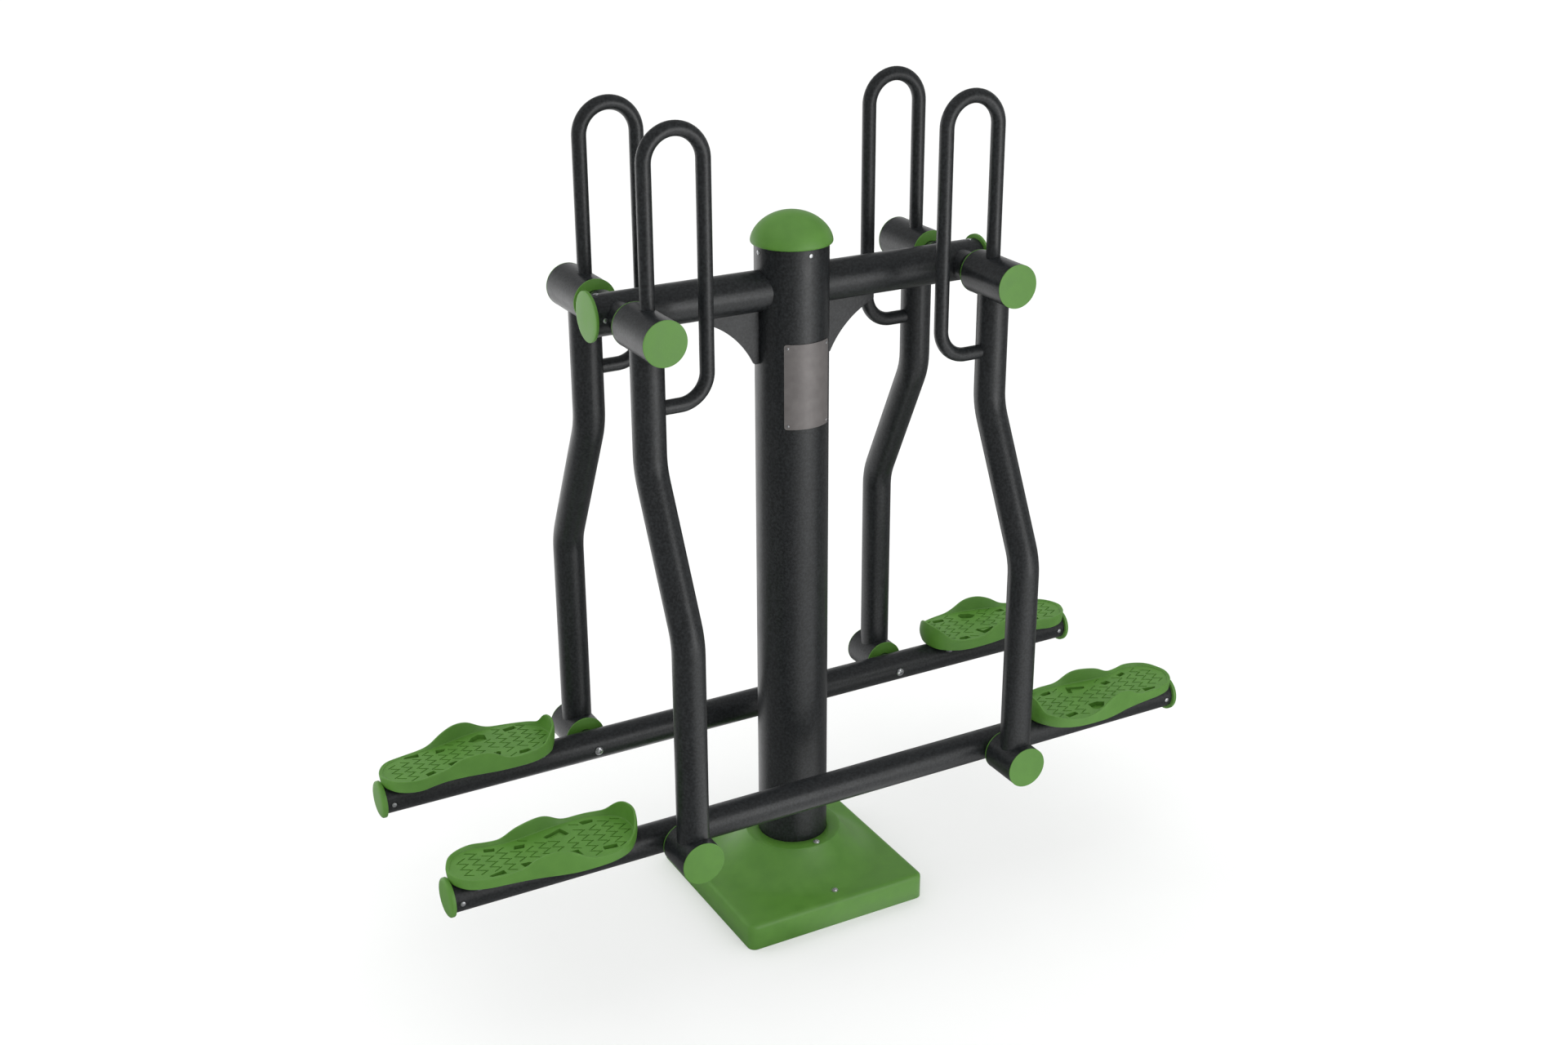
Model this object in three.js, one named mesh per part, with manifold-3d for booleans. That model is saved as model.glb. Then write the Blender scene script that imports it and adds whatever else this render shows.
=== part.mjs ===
// An outdoor air walker for two people. A round post carries a crossbar, and on the front and on
// the rear of the crossbar a pair of arms swings from it. Each pair carries a level beam with a
// footboard at either end. Millimetres, +Z up. X runs along the crossbar, the front faces -Y, and
// the origin is on the ground under the post's axis.
import * as THREE from "three";
import { mergeVertices } from "three/addons/utils/BufferGeometryUtils.js";
import Module from "manifold-3d";

// Driving sizes: the standing frame
const post_diameter = 139.7;
const post_wall = 4;
const post_top = 1353;
const crossbar_diameter = 76.1;
const crossbar_wall = 3.2;
const crossbar_height = 1270;
const pivot_reach = 358;
const crossbar_overhang = 47.4;
const boss_diameter = 57;
const boss_half_length = 58;
const upper_shaft_diameter = 40;
const gusset_thickness = 6;
const gusset_reach = 106;
const gusset_drop = 101;
const gusset_lip = 10.5;
const gusset_arc_radius = 180;

// Driving sizes: the swinging arms
const arm_length = 960;
const leg_diameter = 60.3;
const leg_wall = 2.9;
const leg_upper_offset = 134.2;
const leg_lower_offset = 271.1;
const leg_upper_run = 249;
const leg_lower_run = 432;
const leg_bend_radius = 120;
const hub_diameter = 82.5;
const hub_cap_diameter = 83;
const upper_hub_inner_face = 82;
const upper_hub_outer_face = 212;
const lower_hub_inner_face = 229;
const lower_hub_outer_face = 315.2;
const upper_bearing_diameter = 68;
const lower_bearing_diameter = 62;
const bearing_width = 15;
const bearing_sleeve_wall = 4;
const vent_diameter = 8;
const lower_pin_diameter = 30;
const pin_shank_diameter = 12;
const pin_head_diameter = 18;
const pin_head_height = 5;

// Driving sizes: the handles
const handle_diameter = 26.9;
const handle_wall = 2.6;
const handle_width = 111;
const handle_rise = 343;
const handle_drop = 143;
const handle_setback = 5;
const handle_lower_bend_radius = 54;

// Driving sizes: the beams and footboards
const beam_diameter = 60.3;
const beam_wall = 2.9;
const beam_offset = 191.4;
const beam_half_length = 799.3;
const board_heel_inset = 11.8;
const board_toe_clearance = 48.3;
const board_inner_width = 62;
const board_outer_width = 84;
const board_floor_height = 18.6;
const board_floor = 4;
const board_wall = 4;
const board_pad_width = 36;
const board_rim_height = 24;
const board_hump_height = 46;
const board_toe_height = 56;

// Driving sizes: plastic caps, the base and the plate
const cap_flange = 2;
const cap_spigot = 8;
const cap_wall = 3;
const crossbar_cap_diameter = 92;
const crossbar_cap_flange = 6.5;
const beam_cap_diameter = 73;
const beam_cap_flange = 11;
const end_cap_spigot = 12;
const dome_diameter = 153.4;
const dome_height = 58.5;
const dome_rim_height = 4;
const dome_spigot = 28;
const dome_wall = 4;
const dome_edge = 2;
const base_width = 398.2;
const base_offset = 8.7;
const base_side_height = 55;
const base_edge_radius = 9;
const base_corner_radius = 16;
const base_wall = 4;
const collar_diameter = 196;
const collar_height = 119;
const collar_step = 3;
const anchor_plate_width = 320;
const anchor_plate_thickness = 12;
const anchor_spacing = 240;
const anchor_bolt_diameter = 20;
const anchor_bolt_height = 24;
const anchor_nut_diameter = 34;
const anchor_nut_height = 16;
const plate_height = 165;
const plate_width = 98;
const plate_thickness = 1.5;
const plate_bottom = 1012.5;

// Clearances
const seat_gap = 0.3;
const running_gap = 0.3;
const open_pivot_gap = 1;
const overrun = 5;
const weld_overlap = 1;
const merge_distance = 1e-4;

// How finely round pieces are faceted
const post_sides = 32;
const dome_sides = 24;
const crossbar_sides = 20;
const tube_sides = 14;
const tube_bore_sides = 6;
const handle_sides = 10;
const handle_bore_sides = 6;
const beam_sides = 16;
const hub_sides = 14;
const bearing_sides = 10;
const bend_steps = 2;
const arc_steps = 8;
const crown_steps = 5;
const hood_steps = 5;
const hollow_steps = 3;

// Sizes that follow from the driving ones
const post_radius = post_diameter / 2;
const crossbar_radius = crossbar_diameter / 2;
const leg_radius = leg_diameter / 2;
const beam_radius = beam_diameter / 2;
const hub_radius = hub_diameter / 2;
const handle_radius = handle_diameter / 2;
const beam_height = crossbar_height - arm_length;
const crossbar_half_length = pivot_reach + crossbar_overhang;
const beam_cap_face = beam_half_length + seat_gap + beam_cap_flange;
const board_toe_reach = pivot_reach + hub_cap_diameter / 2 + board_toe_clearance;
const board_length = beam_cap_face - board_heel_inset - board_toe_reach;

const charcoal = { color: "#34383a", roughness: 0.62, metalness: 0.1 };
const green = { color: "#4c8a2c", roughness: 0.5, metalness: 0 };
const bright_steel = { color: "#b4b6b8", roughness: 0.3, metalness: 1 };
const zinc_steel = { color: "#9a9da0", roughness: 0.45, metalness: 0.9 };
const plate_grey = { color: "#878382", roughness: 0.5, metalness: 0.2 };

const wasm = await Module();
wasm.setup();

// A closed geometry as a solid that can be cut and joined.
function solid(geometry) {
  const bare = geometry.clone();
  bare.deleteAttribute("normal");
  bare.deleteAttribute("uv");
  const merged = mergeVertices(bare, merge_distance);
  const corners = merged.index.array;
  const kept = [];
  for (let i = 0; i < corners.length; i += 3) {
    const [a, b, c] = corners.slice(i, i + 3);
    if (a !== b && b !== c && c !== a) kept.push(a, b, c);
  }
  return new wasm.Manifold(
    new wasm.Mesh({
      numProp: 3,
      vertProperties: merged.attributes.position.array,
      triVerts: new Uint32Array(kept),
    }),
  );
}

// The geometry of a cut or joined solid.
function geometryOf(made) {
  const mesh = made.getMesh();
  const geometry = new THREE.BufferGeometry();
  const points = new Float32Array(mesh.vertProperties);
  geometry.setAttribute("position", new THREE.BufferAttribute(points, 3));
  geometry.setIndex(new THREE.BufferAttribute(new Uint32Array(mesh.triVerts), 1));
  geometry.computeVertexNormals();
  return geometry;
}

function cut(geometry, ...tools) {
  const left = tools.reduce((made, tool) => made.subtract(solid(tool)), solid(geometry));
  return geometryOf(left);
}

function join(geometry, ...others) {
  const made = others.reduce((sum, other) => sum.add(solid(other)), solid(geometry));
  return geometryOf(made);
}

function common(geometry, other) {
  return geometryOf(solid(geometry).intersect(solid(other)));
}

// The radius of a faceted hole whose flats clear a round piece at any angle.
function holeRadius(radius, clearance, sides) {
  return (radius + clearance) / Math.cos(Math.PI / sides);
}

// A round piece from a profile of [radius, distance along the axis] points. The profile starts
// and ends on the axis, or it is a ring's section, which is closed here.
function turned(profile, sides, axis) {
  const isRing = profile.every(([radius]) => radius > 0);
  const points = profile.map(([radius, along]) => new THREE.Vector2(radius, along));
  if (THREE.ShapeUtils.area(points) < 0) points.reverse();
  if (isRing) points.push(points[0].clone());
  const geometry = new THREE.LatheGeometry(points, sides);
  if (axis === "x") geometry.rotateZ(-Math.PI / 2);
  if (axis === "z") geometry.rotateX(Math.PI / 2);
  return geometry;
}

function rod(radius, from, to, sides, axis) {
  return turned([[0, from], [radius, from], [radius, to], [0, to]], sides, axis);
}

function pipe(radius, bore, from, to, sides, axis) {
  return turned([[bore, from], [radius, from], [radius, to], [bore, to]], sides, axis);
}

function circle(radius, sides) {
  return Array.from({ length: sides }, (_, i) => {
    const angle = (2 * Math.PI * i) / sides;
    return new THREE.Vector2(radius * Math.cos(angle), radius * Math.sin(angle));
  });
}

// A flat outline given thickness along Z, from one height to another.
function slab(outline, from, to) {
  const shape = outline instanceof THREE.Shape ? outline : new THREE.Shape(outline);
  const options = { depth: to - from, bevelEnabled: false, curveSegments: arc_steps };
  return new THREE.ExtrudeGeometry(shape, options).translate(0, 0, from);
}

// An outline drawn in X and Z, given thickness along Y.
function uprightSlab(outline, from, to) {
  return slab(outline, -to, -from).rotateX(Math.PI / 2);
}

// A path whose rings lie exactly where its stations are.
class StationPath extends THREE.Curve {
  constructor(stations) {
    super();
    this.stations = stations;
  }

  stationAt(share) {
    return this.stations[Math.round(share * (this.stations.length - 1))];
  }

  getPointAt(share, target = new THREE.Vector3()) {
    return target.copy(this.stationAt(share).point);
  }

  getTangentAt(share, target = new THREE.Vector3()) {
    return target.copy(this.stationAt(share).tangent);
  }
}

// The stations of a bent tube's centreline: a run of corners, each with its bend's radius.
function stationsOf(corners, radii) {
  const stations = [];
  const last = corners.length - 1;
  const directions = corners.slice(1).map((corner, i) => corner.clone().sub(corners[i]).normalize());
  stations.push({ point: corners[0], tangent: directions[0] });
  for (let i = 1; i < last; i += 1) {
    const before = directions[i - 1];
    const after = directions[i];
    const turn = before.angleTo(after);
    const reach = radii[i - 1] * Math.tan(turn / 2);
    const start = corners[i].clone().addScaledVector(before, -reach);
    const inward = after.clone().addScaledVector(before, -Math.cos(turn)).normalize();
    const steps = Math.ceil(turn / (Math.PI / 2) * bend_steps) + 1;
    for (let step = 0; step <= steps; step += 1) {
      const angle = (turn * step) / steps;
      const point = start.clone().addScaledVector(before, radii[i - 1] * Math.sin(angle));
      point.addScaledVector(inward, radii[i - 1] * (1 - Math.cos(angle)));
      const tangent = before.clone().multiplyScalar(Math.cos(angle));
      tangent.addScaledVector(inward, Math.sin(angle));
      const previous = stations[stations.length - 1].point;
      if (previous.distanceTo(point) > merge_distance) stations.push({ point, tangent });
    }
  }
  stations.push({ point: corners[last], tangent: directions[last - 1] });
  return stations;
}

// A tube, or a rod where it has no bore, swept along bends.
function sweep(corners, radii, radius, sides, bore = 0, bore_sides = 0) {
  const section = new THREE.Shape(circle(radius, sides));
  if (bore > 0) section.holes.push(new THREE.Path(circle(bore, bore_sides)));
  const stations = stationsOf(corners, radii);
  return new THREE.ExtrudeGeometry(section, {
    steps: stations.length - 1,
    bevelEnabled: false,
    extrudePath: new StationPath(stations),
  });
}

function piece(name, geometry, look) {
  const mesh = new THREE.Mesh(geometry, new THREE.MeshStandardMaterial(look));
  mesh.name = name;
  return mesh;
}

// The standing frame

function makeAnchorPlate() {
  const half = anchor_plate_width / 2;
  const corners = [[-half, -half], [half, -half], [half, half], [-half, half]];
  let plate = slab(corners.map(([x, y]) => new THREE.Vector2(x, y)), 0, anchor_plate_thickness);
  const bolt_top = anchor_plate_thickness + anchor_bolt_height;
  const nut_top = anchor_plate_thickness + anchor_nut_height;
  for (const side of [-1, 1]) {
    for (const end of [-1, 1]) {
      const x = (side * anchor_spacing) / 2;
      const y = (end * anchor_spacing) / 2;
      const bolt = rod(anchor_bolt_diameter / 2, 0, bolt_top, bearing_sides, "z");
      const nut = rod(anchor_nut_diameter / 2, weld_overlap, nut_top, 6, "z");
      plate = join(plate, bolt.translate(x, y, 0), nut.translate(x, y, 0));
    }
  }
  return plate;
}

function makePost() {
  const bore = post_radius - post_wall;
  const foot = anchor_plate_thickness + seat_gap;
  const tube = pipe(post_radius, bore, foot, post_top - seat_gap, post_sides, "z");
  const hole = holeRadius(crossbar_radius, seat_gap, crossbar_sides);
  const reach = post_radius + overrun;
  return cut(tube, rod(hole, -reach, reach, crossbar_sides, "x").translate(0, 0, crossbar_height));
}

function makeCrossbar() {
  const bore = crossbar_radius - crossbar_wall;
  const end = crossbar_half_length;
  const tube = pipe(crossbar_radius, bore, -end, end, crossbar_sides, "x");
  const hole = boss_diameter / 2 + seat_gap;
  const reach = crossbar_radius + overrun;
  const tools = [-1, 1].map((side) => {
    return rod(hole, -reach, reach, hub_sides, "y").translate(side * pivot_reach, 0, 0);
  });
  return cut(tube, ...tools);
}

function makeBoss() {
  const bore = holeRadius(upper_shaft_diameter / 2, seat_gap, hub_sides);
  return pipe(boss_diameter / 2, bore, -boss_half_length, boss_half_length, hub_sides, "y");
}

function makeUpperShaft() {
  const end = upper_hub_outer_face - cap_flange - cap_spigot / 2;
  return rod(upper_shaft_diameter / 2, -end, end, hub_sides, "y");
}

// A plate under the crossbar with a hollow arc between its two lips.
function makeGusset(side) {
  const inner = post_radius + seat_gap;
  const top = -crossbar_radius - seat_gap;
  const outer = inner + gusset_reach;
  const start = new THREE.Vector2(outer, top - gusset_lip);
  const end = new THREE.Vector2(inner + gusset_lip, top - gusset_drop);
  const middle = start.clone().add(end).divideScalar(2);
  const half_chord = start.distanceTo(end) / 2;
  const radius = Math.max(gusset_arc_radius, half_chord);
  const away = end.clone().sub(start).rotateAround(new THREE.Vector2(0, 0), Math.PI / 2).normalize();
  const centre = middle.clone().addScaledVector(away, Math.sqrt(radius ** 2 - half_chord ** 2));
  const from = start.clone().sub(centre).angle();
  const to = end.clone().sub(centre).angle();
  const outline = [new THREE.Vector2(inner, top), new THREE.Vector2(outer, top)];
  for (let step = 0; step <= arc_steps; step += 1) {
    const angle = from + ((to - from) * step) / arc_steps;
    const point = new THREE.Vector2(radius * Math.cos(angle), radius * Math.sin(angle));
    outline.push(point.add(centre));
  }
  outline.push(new THREE.Vector2(inner, top - gusset_drop));
  const placed = outline.map((point) => new THREE.Vector2(side * point.x, point.y));
  return uprightSlab(placed, -gusset_thickness / 2, gusset_thickness / 2);
}

// A lens-shaped plug for a tube's end: its flange covers the end, its spigot goes inside.
function makeEndCap(side, diameter, flange, bore_radius, tube_end) {
  const crown_shares = [[0, 1], [0.82, 0.9], [0.95, 0.76], [1, 0.52], [0.97, 0]];
  const seat = tube_end + seat_gap;
  const crown = crown_shares.map(([out, up]) => [(out * diameter) / 2, seat + up * flange]);
  const spigot_radius = bore_radius * Math.cos(Math.PI / tube_sides) - seat_gap;
  const spigot_end = seat - end_cap_spigot;
  const spigot_bore = spigot_radius - cap_wall;
  const profile = [
    ...crown,
    [spigot_radius, seat],
    [spigot_radius, spigot_end],
    [spigot_bore, spigot_end],
    [spigot_bore, seat],
    [0, seat],
  ];
  return turned(profile.map(([radius, along]) => [radius, side * along]), hub_sides, "x");
}

function makePostCap() {
  const dome_radius = dome_diameter / 2;
  const rim_top = post_top + dome_rim_height;
  const crown_height = dome_height - dome_rim_height;
  const outside = Array.from({ length: crown_steps + 1 }, (_, i) => {
    const angle = ((Math.PI / 2) * i) / crown_steps;
    return [dome_radius * Math.sin(angle), rim_top + crown_height * Math.cos(angle)];
  });
  const spigot_radius = (post_radius - post_wall) * Math.cos(Math.PI / post_sides) - seat_gap;
  const inner_radius = spigot_radius - dome_wall;
  const inside = Array.from({ length: hollow_steps }, (_, i) => {
    const angle = (Math.PI / 2) * (1 - i / hollow_steps);
    const rise = (crown_height - dome_wall) * Math.cos(angle);
    return [inner_radius * Math.sin(angle), rim_top + rise];
  });
  const profile = [
    ...outside,
    [dome_radius - dome_edge, post_top],
    [spigot_radius, post_top],
    [spigot_radius, post_top - dome_spigot],
    [inner_radius, post_top - dome_spigot],
    ...inside,
    [0, rim_top + crown_height - dome_wall],
  ];
  return turned(profile, dome_sides, "z");
}

// The hood over the anchor plate: a low square box that sweeps up to a collar round the post. The
// box sits off the post's axis, towards the front left. The inset is zero for the outside, and the
// wall's thickness for the hollow.
function makeHood(inset, bottom, steps) {
  const half = base_width / 2 - inset;
  const edge = base_edge_radius;
  const plain = half - edge;
  const bend = base_corner_radius - edge;
  const centre = plain - bend;
  const outline = new THREE.Shape();
  outline.absarc(centre, -centre, bend, -Math.PI / 2, 0, false);
  outline.absarc(centre, centre, bend, 0, Math.PI / 2, false);
  outline.absarc(-centre, centre, bend, Math.PI / 2, Math.PI, false);
  outline.absarc(-centre, -centre, bend, Math.PI, Math.PI * 1.5, false);
  const top = base_side_height - inset;
  const box = new THREE.ExtrudeGeometry(outline, {
    depth: top,
    bevelThickness: edge,
    bevelSize: edge,
    bevelSegments: 2,
    curveSegments: 2,
  }).translate(-base_offset, -base_offset, -edge);
  const above_ground = rod(2 * base_width, bottom, collar_height, 4, "z");
  const collar_radius = collar_diameter / 2 - inset;
  const slope_top = collar_height - collar_step - inset;
  const slope_end = half - edge - base_offset;
  const slope = Array.from({ length: steps }, (_, i) => {
    const share = i / steps;
    const rise = (slope_top - top) * (1 - share) ** 2;
    return [collar_radius + (slope_end - collar_radius) * share, top + rise];
  });
  const flare = turned(
    [
      [0, collar_height - inset],
      [collar_radius, collar_height - inset],
      ...slope,
      [slope_end, top - base_wall],
      [0, top - base_wall],
    ],
    dome_sides,
    "z",
  );
  return join(common(box, above_ground), flare);
}

function makeBaseCover() {
  const hollow = makeHood(base_wall, -overrun, hollow_steps);
  const hole_radius = holeRadius(post_radius, seat_gap, post_sides);
  const hole = rod(hole_radius, -overrun, collar_height + overrun, post_sides, "z");
  return cut(makeHood(0, 0, hood_steps), hollow, hole);
}

// A curved sheet on the front of the post.
function makeInstructionPlate() {
  const inner = post_radius + seat_gap;
  const outer = inner + plate_thickness;
  const half_angle = plate_width / inner / 2;
  const arc = (radius, from, to) => {
    return Array.from({ length: arc_steps + 1 }, (_, i) => {
      const angle = from + ((to - from) * i) / arc_steps - Math.PI / 2;
      return new THREE.Vector2(radius * Math.cos(angle), radius * Math.sin(angle));
    });
  };
  const inner_flat = holeRadius(inner, 0, (arc_steps * Math.PI) / half_angle);
  const outline = [
    ...arc(inner_flat, -half_angle, half_angle),
    ...arc(outer, half_angle, -half_angle),
  ];
  return slab(outline, plate_bottom, plate_bottom + plate_height);
}

// The swinging arms. Each is drawn round its upper pivot, and `end` is -1 on the front.

function makeLeg(end) {
  const along = (offset, drop) => new THREE.Vector3(0, end * offset, -drop);
  const corners = [
    along(leg_upper_offset, 0),
    along(leg_upper_offset, leg_upper_run),
    along(leg_lower_offset, arm_length - leg_lower_run),
    along(leg_lower_offset, arm_length),
  ];
  const radii = [leg_bend_radius, leg_bend_radius];
  const bore = leg_radius - leg_wall;
  const tube = sweep(corners, radii, leg_radius, tube_sides, bore, tube_bore_sides);
  const hubs = [
    [upper_hub_inner_face, upper_hub_outer_face, upper_bearing_diameter, 0],
    [lower_hub_inner_face, lower_hub_outer_face, lower_bearing_diameter, -arm_length],
  ].map(([inner_face, outer_face, bearing, height]) => {
    const from = end * (inner_face + cap_flange);
    const to = end * (outer_face - cap_flange);
    const hub_bore = holeRadius(bearing / 2, seat_gap, hub_sides);
    return {
      core: rod(hub_radius - weld_overlap, from, to, hub_sides, "y").translate(0, 0, height),
      tube: pipe(hub_radius, hub_bore, from, to, hub_sides, "y").translate(0, 0, height),
    };
  });
  const coped = cut(tube, hubs[0].core, hubs[1].core);
  const welded = join(coped, hubs[0].tube, hubs[1].tube);
  const vents = [
    [leg_upper_offset, 0],
    [leg_lower_offset, leg_radius + hub_radius - arm_length],
  ].map(([offset, top]) => {
    const bottom = top - leg_radius - hub_radius;
    return rod(vent_diameter / 2, bottom, top, tube_bore_sides, "z").translate(0, end * offset, 0);
  });
  return cut(welded, ...vents);
}

// A loop of tube from the top of the upper hub, over and back down to the leg's side.
function makeHandle(side, end) {
  const at = (x, z) => new THREE.Vector3(-side * x, end * leg_upper_offset, z);
  const far = handle_setback + handle_width;
  const corners = [
    at(handle_setback, 0),
    at(handle_setback, handle_rise),
    at(far, handle_rise),
    at(far, -handle_drop),
    at(0, -handle_drop),
  ];
  const loop_radius = handle_width / 2;
  const radii = [loop_radius, loop_radius, handle_lower_bend_radius];
  const bore = handle_radius - handle_wall;
  const tube = sweep(corners, radii, handle_radius, handle_sides, bore, handle_bore_sides);
  const from = end * (upper_hub_inner_face - overrun);
  const to = end * (upper_hub_outer_face + overrun);
  const hub = rod(hub_radius + seat_gap, from, to, hub_sides, "y");
  const foot = -handle_drop - leg_radius;
  const leg = rod(leg_radius + seat_gap, foot, 0, tube_sides, "z");
  return cut(tube, hub, leg.translate(0, end * leg_upper_offset, 0));
}

// Two bearings with a sleeve between them, pressed into a hub between its caps' spigots.
function makeBearings(end, inner_face, outer_face, diameter, shaft_diameter, clearance) {
  const from = inner_face + cap_flange + cap_spigot + seat_gap;
  const to = outer_face - cap_flange - cap_spigot - seat_gap;
  const bore = holeRadius(shaft_diameter / 2, clearance, bearing_sides);
  const waist = bore + bearing_sleeve_wall;
  const profile = [
    [bore, from],
    [diameter / 2, from],
    [diameter / 2, from + bearing_width],
    [waist, from + bearing_width],
    [waist, to - bearing_width],
    [diameter / 2, to - bearing_width],
    [diameter / 2, to],
    [bore, to],
  ];
  return turned(profile.map(([radius, along]) => [radius, end * along]), bearing_sides, "y");
}

function makeOuterCap(end, outer_face, bearing_diameter) {
  const seat = outer_face - cap_flange + seat_gap;
  const spigot = bearing_diameter / 2;
  const spigot_end = seat - cap_spigot;
  const profile = [
    [0, outer_face],
    [hub_cap_diameter / 2, outer_face],
    [hub_cap_diameter / 2, seat],
    [spigot, seat],
    [spigot, spigot_end],
    [spigot - cap_wall, spigot_end],
    [spigot - cap_wall, seat],
    [0, seat],
  ];
  return turned(profile.map(([radius, along]) => [radius, end * along]), hub_sides, "y");
}

function makeInnerCap(end, inner_face, bearing_diameter, shaft_diameter, clearance) {
  const seat = inner_face + cap_flange - seat_gap;
  const bore = holeRadius(shaft_diameter / 2, clearance, hub_sides);
  const spigot = bearing_diameter / 2;
  const profile = [
    [bore, inner_face],
    [hub_cap_diameter / 2, inner_face],
    [hub_cap_diameter / 2, seat],
    [spigot, seat],
    [spigot, seat + cap_spigot],
    [bore, seat + cap_spigot],
  ];
  return turned(profile.map(([radius, along]) => [radius, end * along]), hub_sides, "y");
}

// The beams. Each is drawn round its own axis at its own height.

function makeBeam() {
  const bore = beam_radius - beam_wall;
  const tube = pipe(beam_radius, bore, -beam_half_length, beam_half_length, beam_sides, "x");
  const hole = holeRadius(pin_shank_diameter / 2, seat_gap, hub_sides);
  const reach = beam_radius + overrun;
  const tools = [-1, 1].map((side) => {
    return rod(hole, -reach, reach, hub_sides, "y").translate(side * pivot_reach, 0, 0);
  });
  return cut(tube, ...tools);
}

// The beam's pivot pin: a head on the post's side, a shank through the beam and a thick journal.
function makePivotPin(end) {
  const head = -beam_radius - seat_gap;
  const shoulder = beam_radius + seat_gap;
  const tip = lower_hub_outer_face - cap_flange - cap_spigot / 2 - beam_offset;
  const profile = [
    [0, head - pin_head_height],
    [pin_head_diameter / 3, head - pin_head_height],
    [pin_head_diameter / 2, head],
    [pin_shank_diameter / 2, head],
    [pin_shank_diameter / 2, shoulder],
    [lower_pin_diameter / 2, shoulder],
    [lower_pin_diameter / 2, tip],
    [0, tip],
  ];
  return turned(profile.map(([radius, along]) => [radius, end * along]), hub_sides, "y");
}

// The footboard's sole as shares of its length from the heel, and of its width on either side of
// the beam: plus is the side away from the post.
const sole_shares = [
  [0, 0], [0.024, 0.3], [0.075, 0.53], [0.16, 0.65], [0.25, 0.7], [0.34, 0.75], [0.43, 0.82],
  [0.52, 0.92], [0.61, 0.99], [0.71, 1], [0.8, 0.97], [0.88, 0.86], [0.94, 0.68], [0.985, 0.38],
  [1, 0.06], [0.985, -0.36], [0.945, -0.66], [0.88, -0.88], [0.81, -0.98], [0.73, -1],
  [0.62, -0.97], [0.52, -0.89], [0.42, -0.82], [0.33, -0.81], [0.25, -0.88], [0.18, -0.97],
  [0.11, -0.9], [0.05, -0.68], [0.015, -0.34],
];
const hump_start_share = 0.318;
const hump_end_share = 0.676;
const toe_start_share = 0.903;
const hump_shares = [[0, 0], [0.12, 0.14], [0.3, 0.72], [0.55, 1], [0.78, 0.78], [0.92, 0.18], [1, 0]];
const toe_shares = [
  [-1, 0], [-0.72, 0.14], [-0.6, 0.45], [-0.44, 0.75], [-0.2, 0.93], [0.1, 1], [0.28, 0.95],
  [0.42, 0.5], [0.56, 0.12], [1, 0],
];

// A copy of a closed outline drawn in by a distance.
function drawnIn(outline, distance) {
  const count = outline.length;
  const sense = Math.sign(THREE.ShapeUtils.area(outline));
  return outline.map((point, i) => {
    const before = outline[(i + count - 1) % count];
    const after = outline[(i + 1) % count];
    const tangent = after.clone().sub(before).normalize();
    const inward = new THREE.Vector2(-tangent.y * sense, tangent.x * sense);
    return point.clone().addScaledVector(inward, distance);
  });
}

function makeFootboard(side, end) {
  const place = (along, across) => {
    const x = side * (beam_cap_face - board_heel_inset - along);
    return new THREE.Vector2(x, end * across);
  };
  const outline = sole_shares.map(([along, across]) => {
    const width = across > 0 ? board_outer_width : board_inner_width;
    return place(along * board_length, across * width);
  });
  const bottom = beam_radius + seat_gap;
  const rim = bottom + board_rim_height;
  const tallest = bottom + Math.max(board_hump_height, board_toe_height) + overrun;
  const rise = board_hump_height - board_rim_height;
  const hump_start = hump_start_share * board_length;
  const run = hump_end_share * board_length - hump_start;
  const hump_line = hump_shares.map(([along, up]) => {
    const x = place(hump_start + along * run, 0).x;
    return new THREE.Vector2(x, rim + up * rise);
  });
  const hump_foot = [
    new THREE.Vector2(hump_line[hump_line.length - 1].x, bottom),
    new THREE.Vector2(hump_line[0].x, bottom),
  ];
  const widest = board_outer_width + board_inner_width;
  const humps = uprightSlab([...hump_line, ...hump_foot], -widest, widest);
  const toe_rise = board_toe_height - board_rim_height;
  const toe_line = toe_shares.map(([across, up]) => {
    const width = across > 0 ? board_outer_width : board_inner_width;
    return new THREE.Vector2(end * across * width, rim + up * toe_rise);
  });
  const toe_foot = [
    new THREE.Vector2(toe_line[toe_line.length - 1].x, bottom),
    new THREE.Vector2(toe_line[0].x, bottom),
  ];
  const toe_start = place(toe_start_share * board_length, 0).x;
  const toe_end = place(board_length + overrun, 0).x;
  const toe_from = Math.min(toe_start, toe_end);
  const toe_to = Math.max(toe_start, toe_end);
  // An outline drawn in Y and Z, given thickness along X.
  const toe = slab([...toe_line, ...toe_foot], 0, toe_to - toe_from);
  toe.rotateX(Math.PI / 2).rotateZ(Math.PI / 2).translate(toe_from, 0, 0);
  const full = slab(outline, bottom, tallest);
  const body = join(slab(outline, bottom, rim), common(full, humps), common(full, toe));
  const floor_top = bottom + board_floor_height;
  const tray = slab(drawnIn(outline, board_wall), floor_top, tallest + overrun);
  const pad_half = board_pad_width / 2;
  const pad_corners = [
    place(-overrun, -pad_half),
    place(board_length + overrun, -pad_half),
    place(board_length + overrun, pad_half),
    place(-overrun, pad_half),
  ];
  const pad = slab(pad_corners, bottom - 2 * overrun, floor_top);
  const below = slab(drawnIn(outline, board_wall), bottom - overrun, floor_top - board_floor);
  return cut(body, tray, cut(below, pad));
}

// Assembly

const air_walker = new THREE.Group();
const side_names = [[-1, "left"], [1, "right"]];
const end_names = [[-1, "front"], [1, "rear"]];

air_walker.add(
  piece("anchor_plate", makeAnchorPlate(), zinc_steel),
  piece("base_cover", makeBaseCover(), green),
  piece("post", makePost(), charcoal),
  piece("post_cap", makePostCap(), green),
  piece("instruction_plate", makeInstructionPlate(), plate_grey),
);

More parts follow.
